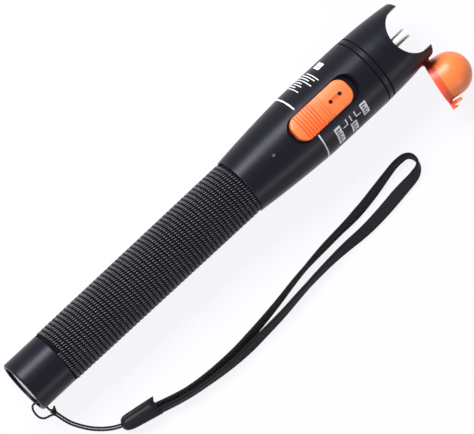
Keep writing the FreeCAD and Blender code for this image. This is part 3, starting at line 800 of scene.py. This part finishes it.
@dataclass
class Housing:
    """Finishes of the pieces that come straight from the solid model."""

    cap_centre: tuple = (2.5, -21.85, -4.9)
    cap_depth: float = 5.7
    cap_lift: float = 19.0
    cap_yaw: float = 10.5

    def dress(self) -> None:
        """Give every carried-over node its finish."""
        cap_axis = self._cap_axis()
        finishes = {
            SatinBlack(): ("front_barrel", "collar_ring", "crown"),
            # painted shade over the grip's stretch, between the knurl's pads
            SatinBlack("grip_black", knurl_shade_stretch=(15.25, 105.35)): ("handle_tube",),
            TurnedMetal("polished_nickel", (0.86, 0.86, 0.88), 0.16): ("tail_disc",),
            TurnedMetal("satin_nickel", (0.96, 0.95, 0.94), 0.4): ("port_housing",),
            TurnedMetal("contact_brass", (0.74, 0.55, 0.25), 0.28): (
                "spring_plate", "laser_barrel", "lens_retainer", "laser_diode", "positive_contact"),
            TurnedMetal("spring_steel", (0.58, 0.58, 0.6), 0.26): (
                "battery_spring", "cap_pin", "board_screws", "slide_switch"),
            CellWrap(): ("rear_cell", "front_cell"),
            Moulded("capacitor_sleeve", (0.02, 0.03, 0.06), (0.03, 0.04, 0.09), 0.35): (
                "filter_capacitors",),
            Moulded("seal_rubber", (0.012, 0.012, 0.013), (0.02, 0.02, 0.021), 0.6): ("barrel_oring",),
            Moulded("carrier_plastic", (0.014, 0.014, 0.015), (0.024, 0.024, 0.026), 0.5): (
                "module_carrier", "driver_chip", "switch_stem"),
            ButtonPlastic(): ("slide_button",),
            Moulded("sleeve_ceramic", (0.86, 0.85, 0.82), (0.8, 0.79, 0.76), 0.18, 0.4, 0.002): (
                "ferrule_sleeve",),
            Clear("lens_glass"): ("focus_lens",),
            Clear("light_guide", (0.012, 0.012, 0.014), 0.2): ("indicator_pipe",),
            BoardLacquer(): ("circuit_board",),
        }
        for finish, names in finishes.items():
            self._apply(finish.build(), names)
        mouth = Vector(self.cap_centre) * MM - cap_axis * self.cap_depth * MM
        self._apply(CapRubber(mouth, cap_axis).build(), ("dust_cap",))

    def _cap_axis(self) -> Vector:
        """Direction from the dust cap's mouth to its dome as the cap lies at rest."""
        lift, yaw = math.radians(self.cap_lift), math.radians(self.cap_yaw)
        level = Vector((math.cos(yaw), -math.sin(yaw), 0.0))
        return (level * math.cos(lift) + Vector((0.0, 0.0, 1.0)) * math.sin(lift)).normalized()

    @staticmethod
    def _apply(material: bpy.types.Material, names: tuple) -> None:
        """Put a material on named nodes."""
        for name in names:
            NODES[name].data.materials.clear()
            NODES[name].data.materials.append(material)
            LOG.info("finish %s on %s", material.name, name)


@dataclass
class GripKnurl:
    """Knurled grip: small raised pads where two runs of crossing grooves leave the metal standing.

    The pads lie on threads with two starts: one step round also goes a little forward, so that after a full
    turn of steps the row is two rings on. Each ring starts a small share of a turn before the last.
    """

    ring_pitch: float = 1.7653
    ring_slip: float = 0.0083922
    starts: int = 2
    steps: int = 65
    start: float = 16.2
    end: float = 105.0
    rear_radius: float = 10.4
    front_radius: float = 10.95
    grip_start: float = 15.2
    grip_end: float = 105.5
    height: float = 0.24
    crown: float = 0.02
    shoulder: float = 0.1
    sunk: float = 0.42
    length: float = 1.66
    width: float = 0.56
    skew: float = 0.17
    corner: float = 0.8

    def ridge(self, station: float) -> float:
        """Radius of the handle's ridges at a station."""
        share = (station - self.grip_start) / (self.grip_end - self.grip_start)
        return self.rear_radius + (self.front_radius - self.rear_radius) * share

    def build(self) -> bpy.types.Object:
        """Make every pad as one piece.

        Returns:
            The knurling.
        """
        points, faces = [], []
        step_pitch = self.starts * self.ring_pitch / self.steps
        step_turn = (1 - self.starts * self.ring_slip) / self.steps
        for ring in range(-self.starts - 1, int((self.end - self.start) / self.ring_pitch) + 1):
            step = math.ceil(ring * self.ring_slip / step_turn)
            while (turn := step * step_turn - ring * self.ring_slip) < 1:
                station = self.start + ring * self.ring_pitch + step * step_pitch
                if self.start <= station <= self.end:
                    self._pad(points, faces, station, 2 * math.pi * turn)
                step += 1
        piece = mesh_object("grip_knurl", points, faces, KnurlBlack().build())
        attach(piece, Body.HANDLE.value)
        return piece

    def _pad(self, points: list, faces: list, station: float, angle: float) -> None:
        """Add one pad's points and faces: a foot, a shoulder and a crowned top."""
        first = len(points)
        radius = self.ridge(station)
        levels = ((1.0, radius - self.sunk), (0.92, radius + self.shoulder), (0.66, radius + self.height))
        around = ((-1, 0), (-1, 1), (0, 1), (1, 1), (1, 0), (1, -1), (0, -1), (-1, -1))
        for share, level in levels:
            for along, across in around:
                corner = self.corner if along and across else 1.0
                reach = along * share * corner * self.length / 2
                turn = angle + (across * share * self.width / 2 + along * self.skew * share) / radius
                points.append(on_pen(station + reach, -level * math.sin(turn), level * math.cos(turn)))
        top = radius + self.height + self.crown
        points.append(on_pen(station, -top * math.sin(angle), top * math.cos(angle)))
        count = len(around)
        faces += band_faces(len(levels), count, first)
        last = first + (len(levels) - 1) * count
        faces += [(last + index, last + (index + 1) % count, last + count) for index in range(count)]


@dataclass
class ThumbRibs:
    """Low raised ribs that carry on the button's grooves towards its holes."""

    stations: tuple = (142.05, 142.95, 144.2, 145.4)
    lengths: tuple = (0.5, 0.75, 0.75, 0.6)
    half_width: float = 4.6
    step: float = 0.4
    foot: float = 0.5
    crest: float = 0.28
    height: float = 0.22
    sunk: float = 0.2
    drop: float = 0.9

    def build(self) -> bpy.types.Object:
        """Make the ribs as one piece.

        Returns:
            The ribs, which ride on the switch.
        """
        surface = surface_of("slide_button")
        points, faces = [], []
        for station, length in zip(self.stations, self.lengths):
            self._rib(surface, points, faces, station, length)
        plastic = bpy.data.materials["button_orange"]
        piece = mesh_object("thumb_ribs", points, faces, plastic, smooth=False)
        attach(piece, Body.SWITCH.value)
        return piece

    def _rib(self, surface: BVHTree, points: list, faces: list, station: float, length: float) -> None:
        """Add one rib over the button's top, as wide as the top is."""
        rows = []
        middle = self._top(surface, station, 0.0)
        count = round(self.half_width / self.step)
        for index in range(-count, count + 1):
            left = index * self.step
            top = self._top(surface, station, left)
            if top is not None and middle - top < self.drop:
                rows.append((left, top))
        section = ((-self.foot, -self.sunk), (-self.crest, self.height), (self.crest, self.height),
                   (self.foot, -self.sunk))
        faces += tube_faces(len(rows), len(section), len(points))
        for left, top in rows:
            points += [on_pen(station + along * length, left, top + rise) for along, rise in section]

    @staticmethod
    def _top(surface: BVHTree, station: float, left: float) -> float | None:
        """Height of the button's top over the pen's axis, in millimetres."""
        hit = surface.ray_cast(on_pen(station, left, 30.0), -PEN_TOP)[0]
        return None if hit is None else hit.dot(PEN_TOP) / MM


@dataclass
class PrintedMarks:
    """White marks on the switch head: the ring line, the switch's positions and plain panels.

    Angles are in degrees from the top towards the right. A panel or a patch is given by its station, its
    angle, its length along the pen and its width round the head.
    """

    print_radius: float = 13.7
    ring_station: float = 136.35
    ring_width: float = 0.55
    pocket_edges: tuple = (-29.4, 24.0)
    stroke: float = 0.45
    bracket_angle: float = 40.2
    bracket_width: float = 2.6
    positions: tuple = ((147.55, -1), (149.5, 0), (151.8, 1))
    foot_angle: float = 45.2
    foot_length: float = 2.2
    panels: tuple = ((156.1, 44.8, 2.8, 5.6), (149.8, 61.0, 2.9, 5.4), (143.2, 53.2, 2.8, 8.6),
                     (155.0, -62.5, 3.2, 3.7))
    text_lines: tuple = ((-80, -48), (-79, -62), (-77, -52), (-84, -57), (-86, -39), (-84, -50),
                         (-77, -42), (-72, -38))
    text_station: float = 142.2
    text_pitch: float = 1.17
    text_height: float = 0.3
    sign_pitch: float = 1.4
    sign_share: float = 0.84
    tall_bar: float = 0.62
    short_bar: float = 0.4
    bar_shift: float = 0.3
    stand: float = 0.025
    step: float = 0.5

    def __post_init__(self) -> None:
        """Read the head's surface."""
        self.surface = surface_of("front_barrel")
        self.clear()

    def clear(self) -> None:
        """Start a new piece."""
        self.points: list = []
        self.faces: list = []

    def _on_surface(self, station: float, angle: float) -> Vector:
        """Point just over the head's surface at a station and an angle."""
        turn = math.radians(angle)
        outward = -PEN_LEFT * math.sin(turn) + PEN_TOP * math.cos(turn)
        outside = on_pen(station, 0.0, 0.0) + outward * (2.2 * self.print_radius * MM)
        hit = self.surface.ray_cast(outside, -outward)[0]
        return hit + outward * self.stand * MM

    def patch(self, station: float, angle: float, length: float, width: float) -> None:
        """Add a rectangle of ink.

        Args:
            station: Its middle along the pen.
            angle: Its middle round the head.
            length: Size along the pen.
            width: Size round the head.
        """
        rows = max(1, round(length / self.step))
        columns = max(1, round(width / self.step))
        first = len(self.points)
        for row in range(rows + 1):
            for column in range(columns + 1):
                turn = angle + math.degrees(width / self.print_radius) * (column / columns - 0.5)
                self.points.append(self._on_surface(station + length * (row / rows - 0.5), turn))
        for row in range(rows):
            for column in range(columns):
                corner = first + row * (columns + 1) + column
                self.faces.append((corner, corner + 1, corner + columns + 2, corner + columns + 1))

    def _arc(self, station: float, start: float, end: float, length: float) -> None:
        """Add a line of ink round the head from one angle to another."""
        width = math.radians(end - start) * self.print_radius
        self.patch(station, (start + end) / 2, length, width)

    def build(self) -> bpy.types.Object:
        """Make the white marks as one piece and the dark signs on the panels as another.

        Returns:
            The printed marks.
        """
        low, high = self.pocket_edges
        self._arc(self.ring_station, high, low + 360, self.ring_width)
        for station, toe in self.positions:
            self.patch(station, self.bracket_angle, self.stroke, self.bracket_width)
            if toe:
                middle = station + toe * self.foot_length / 2
                self.patch(middle, self.foot_angle, self.foot_length, self.stroke)
        for panel in self.panels:
            self.patch(*panel)
        for index, (start, end) in enumerate(self.text_lines):
            self._arc(self.text_station + self.text_pitch * index, start, end, self.text_height)
        piece = mesh_object("printed_marks", self.points, self.faces, PrintedInk().build())
        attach(piece, Body.HEAD.value)
        self.clear()
        self.stand *= 2
        for panel in self.panels:
            self._sign(*panel)
        finish = PrintedInk("printed_black", (0.01, 0.01, 0.012), (0.03, 0.03, 0.034))
        signs = mesh_object("printed_signs", self.points, self.faces, finish.build())
        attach(signs, Body.HEAD.value)
        return piece

    def _sign(self, station: float, angle: float, length: float, width: float) -> None:
        """Add a plain sign to a panel: tall and short bars by turns, side by side."""
        count = round(width / self.sign_pitch)
        pitch = width * self.sign_share / count
        for index in range(count):
            turn = angle + math.degrees((index - (count - 1) / 2) * pitch / self.print_radius)
            shift, share = (self.bar_shift, self.short_bar) if index % 2 else (0.0, self.tall_bar)
            self.patch(station - shift, turn, length * share, pitch * 0.5)


@dataclass
class WristStrap:
    """Wrist strap: string through the tail's hole, knot, plastic clip and woven webbing.

    A twist is a share of the webbing's length and the angle of its width from level there, in degrees. A row
    of the clip's profile is a station from its narrow end, how far it reaches to either side, and half its
    height.
    """

    string_diameter: float = 0.84
    string_steps: int = 620
    thread_count: int = 3
    thread_turn: float = 0.32
    string_sides: int = 15
    strand_spacing: float = 0.9
    webbing_width: float = 5.0
    webbing_thickness: float = 1.1
    webbing_steps: int = 460
    twists: tuple = ((0.0, 71), (0.05, 76), (0.16, 56), (0.28, 76), (0.32, 63), (0.35, 60), (0.38, 48),
                     (0.42, 48), (0.48, 66), (0.5, 99), (0.52, 137), (0.56, 162), (0.6, 152), (0.65, 134),
                     (0.69, 119), (0.73, 111), (0.84, 128), (0.92, 107), (1.0, 108))
    knot_place: tuple = (-185.5, -13.3, 1.32)
    knot_size: float = 0.3
    knot_steps: int = 120
    loose_end: tuple = ((-185.4, -13.1, 1.3), (-184.8, -12.6, 1.1), (-184.1, -12.2, 0.5))
    clip_rear: tuple = (-171.6, -33.9)
    clip_front: tuple = (-157.1, -36.7)
    clip_thickness: float = 5.0
    clip_profile: tuple = ((0.0, 1.0, 0.8, 0.9), (0.4, 1.9, 1.4, 1.5), (1.0, 2.7, 2.0, 1.95),
                           (2.0, 3.2, 2.45, 2.2), (3.5, 3.35, 2.8, 2.35), (7.5, 3.45, 3.1, 2.5),
                           (11.5, 3.5, 3.35, 2.5))
    clip_mouth: float = 3.57
    clip_notch: float = 1.9

    def string_route(self) -> list:
        """Control points of the string, from the clip round the loop and back, in metres."""
        middle = [(-169.8, -34.0), (-173.4, -32.4), (-176.8, -29.9), (-179.8, -26.9), (-182.3, -23.3),
                  (-184.1, -19.9), (-185.0, -16.4)]
        loop = [(-185.9, -14.2, 0.42), (-187.4, -13.5, 0.42), (-189.3, -13.1, 0.42), (-190.6, -11.8, 0.42),
                (-190.9, -9.6, 0.5), (-190.5, -7.6, 1.3), (-190.0, -6.7, 3.6), (-189.5, -6.6, 6.5),
                (-188.6, -7.1, 9.2), (-187.52, -7.9, 10.5), (-187.52, -11.5, 10.4), (-186.9, -12.3, 7.2),
                (-186.1, -12.4, 3.8), (-185.3, -13.0, 0.9)]
        out, back = [], []
        for index, (x, y) in enumerate(middle):
            before, after = middle[max(index - 1, 0)], middle[min(index + 1, len(middle) - 1)]
            way = Vector((after[0] - before[0], after[1] - before[1])).normalized()
            way *= self.strand_spacing / 2
            out.append((x - way.y, y + way.x, self.string_diameter / 2))
            back.append((x + way.y, y - way.x, self.string_diameter / 2))
        return [on_floor(*place) for place in out + loop + back[::-1]]

    def webbing_route(self) -> list:
        """Control points of the webbing's line on the surface, in metres."""
        route = [(-159.8, -35.9), (-152.0, -38.5), (-142.5, -40.7), (-132.0, -41.7), (-121.0, -41.9),
                 (-110.5, -41.0), (-100.0, -39.7), (-89.5, -37.95), (-79.0, -36.85), (-68.0, -36.25),
                 (-57.0, -35.95), (-47.8, -34.8), (-39.5, -33.3), (-32.5, -32.1), (-26.9, -32.9),
                 (-25.9, -37.6), (-29.6, -40.3), (-38.0, -40.8), (-47.5, -41.9), (-58.0, -42.5),
                 (-69.0, -41.8), (-80.0, -42.0), (-91.0, -42.75), (-101.5, -43.85), (-112.5, -44.3),
                 (-123.5, -44.6), (-134.0, -43.85), (-144.0, -42.5), (-153.0, -40.3), (-160.6, -37.8)]
        return [on_floor(*place) for place in route]

    def _twist(self, share: float) -> float:
        """Angle of the webbing's width from level, in radians, at a share of its length."""
        return math.radians(float(np.interp(share, *zip(*self.twists))))

    def string(self) -> bpy.types.Object:
        """Make the string from its twisted threads."""
        path = spline_points(self.string_route(), self.string_steps)
        radius = self.string_diameter / 2 * MM
        sections = []
        for index in range(len(path)):
            turn = index * self.thread_turn
            ring = []
            for side in range(self.string_sides):
                angle = 2 * math.pi * side / self.string_sides
                lobe = radius * (0.9 + 0.1 * math.cos(self.thread_count * (angle - turn)))
                ring.append((lobe * math.cos(angle), lobe * math.sin(angle)))
            sections.append(ring)
        frames = carried_frames(path, Vector((0.0, 0.0, 1.0)))
        piece = sweep("strap_string", path, sections, frames, CordThread().build())
        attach(piece, Body.HANDLE.value)
        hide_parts("wrist_string")
        self.string_path = path
        return piece

    def knot(self) -> bpy.types.Object:
        """Make the overhand knot as a drawn-tight loop of the string."""
        centre = on_floor(*self.knot_place)
        path = []
        for index in range(self.knot_steps + 1):
            t = 2 * math.pi * index / self.knot_steps
            offset = Vector((math.sin(t) + 2 * math.sin(2 * t), math.cos(t) - 2 * math.cos(2 * t),
                             -1.2 * math.sin(3 * t)))
            path.append(centre + offset * self.knot_size * MM)
        radius = self.string_diameter / 2 * MM
        ring = [(radius * math.cos(a), radius * math.sin(a)) for a in np.linspace(0, 2 * math.pi, 13)[:-1]]
        upright = Vector((0.0, 0.0, 1.0))
        frames = carried_frames(path, upright)
        thread = bpy.data.materials["cord_thread"]
        piece = sweep("strap_knot", path, [ring] * len(path), frames, thread)
        rear, middle, tip = (on_floor(*place) for place in self.loose_end)
        end = []
        for share in np.linspace(0, 1, 9):
            inner, outer = min(share * 2, 1.0), max(share * 2 - 1, 0.0)
            end.append(rear.lerp(middle, inner).lerp(middle.lerp(tip, outer), share))
        stub = sweep("strap_end", end, [ring] * len(end), carried_frames(end, upright), thread)
        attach(stub, Body.HANDLE.value)
        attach(piece, Body.HANDLE.value)
        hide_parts("string_knot")
        return piece

    def webbing(self) -> bpy.types.Object:
        """Make the woven webbing, lying flat in places and on its edge in others."""
        flat = spline_points(self.webbing_route(), self.webbing_steps)
        half, thick = self.webbing_width / 2, self.webbing_thickness / 2
        upper = [(-half, 0.0), (-half + 0.12, 0.7 * thick), (-half + 0.4, thick), (-half / 2, 0.92 * thick),
                 (0.0, 0.9 * thick), (half / 2, 0.92 * thick), (half - 0.4, thick),
                 (half - 0.12, 0.7 * thick)]
        outline = upper + [(-x, -y) for x, y in upper]
        section = [(x * MM, y * MM) for x, y in outline]
        path, frames = [], []
        for index, place in enumerate(flat):
            share = index / (len(flat) - 1)
            twist = self._twist(share)
            tangent = (flat[min(index + 1, len(flat) - 1)] - flat[max(index - 1, 0)]).normalized()
            level = Vector((-tangent.y, tangent.x, 0.0))
            side = level * math.cos(twist) + Vector((0.0, 0.0, math.sin(twist)))
            lift = half * math.sin(twist) + thick * abs(math.cos(twist))
            path.append(place + Vector((0.0, 0.0, lift * MM)))
            frames.append((side, tangent.cross(side)))
        piece = sweep("strap_webbing", path, [section] * len(path), frames, Weave().build())
        lay = piece.data.attributes.new("lay", "FLOAT_VECTOR", "POINT")
        length = route_length(path)
        values = []
        for along in np.linspace(0.0, length / MM, len(path)):
            values += [value for x, _ in outline for value in (along, x, 0.0)]
        lay.data.foreach_set("vector", values)
        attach(piece, Body.HANDLE.value)
        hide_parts("wrist_webbing")
        self.webbing_path = path
        return piece

    def clip(self) -> bpy.types.Object:
        """Make the clip's two moulded shells, with the light seam between them and the notched wide end."""
        rear, front = on_floor(*self.clip_rear), on_floor(*self.clip_front)
        way = (front - rear).normalized()
        side = Vector((-way.y, way.x, 0.0))
        length = (front - rear).length / MM
        middle = self.clip_thickness / 2
        profile = (*self.clip_profile, (length, self.clip_mouth, self.clip_mouth, middle))
        points = []
        for station, upper, lower, height in profile:
            inset = min(1.0, upper / 3.0)
            left = [(upper, 0.45), (upper - 0.35 * inset, 0.85), (upper - 0.9 * inset, 1.0)]
            seam = [(upper - 1.3 * inset, 1.0), (upper - 1.5 * inset, 0.82), (upper - 1.7 * inset, 1.0)]
            right = [(-lower + 0.9 * inset, 1.0), (-lower + 0.35 * inset, 0.85), (-lower, 0.45)]
            under = [(across, -share) for across, share in reversed(left + right)]
            ring = left + seam + [((upper - lower) / 2, 1.02)] + right + under
            for across, share in ring:
                notch = self.clip_notch * (1 - abs(across) / upper) if station == length else 0.0
                place = rear + way * ((station - notch) * MM) + side * (across * MM)
                points.append(place + Vector((0.0, 0.0, (middle + share * height) * MM)))
        faces = tube_faces(len(profile), len(ring))
        finish = Moulded("clip_plastic", (0.008, 0.008, 0.009), (0.013, 0.013, 0.015), 0.4, 0.3, 0.01,
                         shine=0.12)
        piece = mesh_object("strap_clip_shells", points, faces, finish.build())
        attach(piece, Body.HANDLE.value)
        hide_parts("strap_clip")
        return piece

    def build(self) -> None:
        """Make the whole strap and log its cords' lengths."""
        string, knot, webbing, clip = self.string(), self.knot(), self.webbing(), self.clip()
        string_length, webbing_length = route_length(self.string_path), route_length(self.webbing_path)
        for piece, length in ((string, string_length), (webbing, webbing_length)):
            LOG.info("%s is %.1f mm long", piece.name, length / MM)


@dataclass
class Studio:
    """Pale floor, white surroundings, a soft key light and the camera."""

    floor_colour: tuple = (0.96, 0.96, 0.97)
    floor_deep: tuple = (0.9, 0.9, 0.92)
    floor_glow: tuple = (0.975, 0.97, 1.0)
    floor_glow_share: float = 0.92
    floor_reach: float = 3.0
    key_lean: float = 42.0
    key_distance: float = 0.75
    key_size: tuple = (0.7, 0.28)
    key_power: float = 12.0
    key_colour: tuple = (0.95, 0.95, 1.0)
    fill_distance: float = 0.9
    fill_size: tuple = (0.6, 0.2)
    fill_power: float = 1.8
    fill_colour: tuple = (0.95, 0.96, 1.0)
    world_colour: tuple = (0.86, 0.88, 1.0)
    world_level: float = 0.08
    distance: float = 1.1
    view_width: float = 0.1681
    look_at: tuple = (-0.0924, -0.0072, 0.0)
    camera_lift: float = 12.48
    camera_roll: float = 42.98
    sensor: float = 36.0

    def camera(self) -> None:
        """Make the camera: high over the pen, which runs up to the right across the frame."""
        lift, roll = math.radians(self.camera_lift), math.radians(self.camera_roll)
        back = Vector((-math.sin(lift), 0.0, math.cos(lift)))
        level = Vector((math.cos(lift), 0.0, math.sin(lift)))
        right = level * math.cos(roll) - PEN_LEFT * math.sin(roll)
        upward = level * math.sin(roll) + PEN_LEFT * math.cos(roll)
        data = bpy.data.cameras.new("camera")
        data.sensor_width = self.sensor
        data.lens = self.sensor * self.distance / self.view_width
        data.clip_start = 0.05
        camera = bpy.data.objects.new("camera", data)
        place = Vector(self.look_at) + back * self.distance
        camera.matrix_world = Matrix.Translation(place) @ Matrix((right, upward, back)).transposed().to_4x4()
        bpy.context.scene.collection.objects.link(camera)
        bpy.context.scene.camera = camera
        self.back = back

    def floor(self) -> None:
        """Make the floor: a wide matte sheet that shows white and keeps the soft shadow."""
        graph = Graph("studio_floor")
        paper = graph.noise(2.0, 2.0)
        colour = graph.mix(paper * 0.1, self.floor_colour, self.floor_deep)
        paint = graph.add("ShaderNodeBsdfDiffuse", {}, {"Color": colour})
        glow = graph.add("ShaderNodeEmission", {}, {"Color": rgba(self.floor_glow), "Strength": 1.0})
        share = graph.seen() * self.floor_glow_share
        mixed = graph.add("ShaderNodeMixShader", {}, {0: share, 1: paint, 2: glow})
        graph.add("ShaderNodeOutputMaterial", {}, {"Surface": mixed})
        reach = self.floor_reach
        corners = [(x * reach, y * reach, FLOOR) for x, y in ((-1, -1), (1, -1), (1, 1), (-1, 1))]
        sheet = mesh_object("studio_floor", corners, [(0, 1, 2, 3)], graph.owner)

    def _softbox(self, name: str, direction: Vector, distance: float, size: tuple, power: float,
                 colour: tuple) -> None:
        """Hang one soft light.

        Args:
            name: The light's name.
            direction: From the pen to the light.
            distance: How far away it hangs, in metres.
            size: Its length along the pen and its width, in metres.
            power: Its power in watts.
            colour: Its colour.
        """
        data = bpy.data.lights.new(name, "AREA")
        data.shape = "RECTANGLE"
        data.size, data.size_y = size
        data.energy = power
        data.color = colour
        light = bpy.data.objects.new(name, data)
        back = direction.normalized()
        along = (PEN_AXIS - back * PEN_AXIS.dot(back)).normalized()
        across = back.cross(along)
        place = Vector(self.look_at) + back * distance
        light.matrix_world = Matrix.Translation(place) @ Matrix((along, across, back)).transposed().to_4x4()
        bpy.context.scene.collection.objects.link(light)

    def lights(self) -> None:
        """Hang the lights and set the surroundings."""
        lean = math.radians(self.key_lean)
        key = self.back * math.cos(lean) + PEN_LEFT * math.sin(lean)
        self._softbox("key_light", key, self.key_distance, self.key_size, self.key_power, self.key_colour)
        fill = self.back * 0.3 - PEN_LEFT * 0.8 + PEN_AXIS * 0.2
        self._softbox("fill_light", fill, self.fill_distance, self.fill_size, self.fill_power,
                      self.fill_colour)
        graph = Graph("surroundings", of_world=True)
        bpy.context.scene.world = graph.owner
        colour = rgba(self.world_colour)
        dim = graph.add("ShaderNodeBackground", {}, {"Color": colour, "Strength": self.world_level})
        white = graph.add("ShaderNodeBackground", {}, {"Color": rgba((1.0, 1.0, 1.0)), "Strength": 1.0})
        mixed = graph.add("ShaderNodeMixShader", {}, {0: graph.seen(), 1: dim, 2: white})
        graph.add("ShaderNodeOutputWorld", {}, {"Surface": mixed})

    def build(self) -> None:
        """Set the whole studio up."""
        self.camera()
        self.floor()
        self.lights()
        bpy.context.scene.view_settings.view_transform = "Standard"


def main() -> None:
    """Build the studio, the strap, the finishes, the grip and the marks in order."""
    logging.basicConfig(level=logging.INFO, format="%(name)s: %(message)s")
    Studio().build()
    WristStrap().build()
    Housing().dress()
    for piece in (GripKnurl().build(), ThumbRibs().build(), PrintedMarks().build()):
        LOG.info("built %s with %d faces", piece.name, len(piece.data.polygons))


if __name__ == "__main__":
    main()
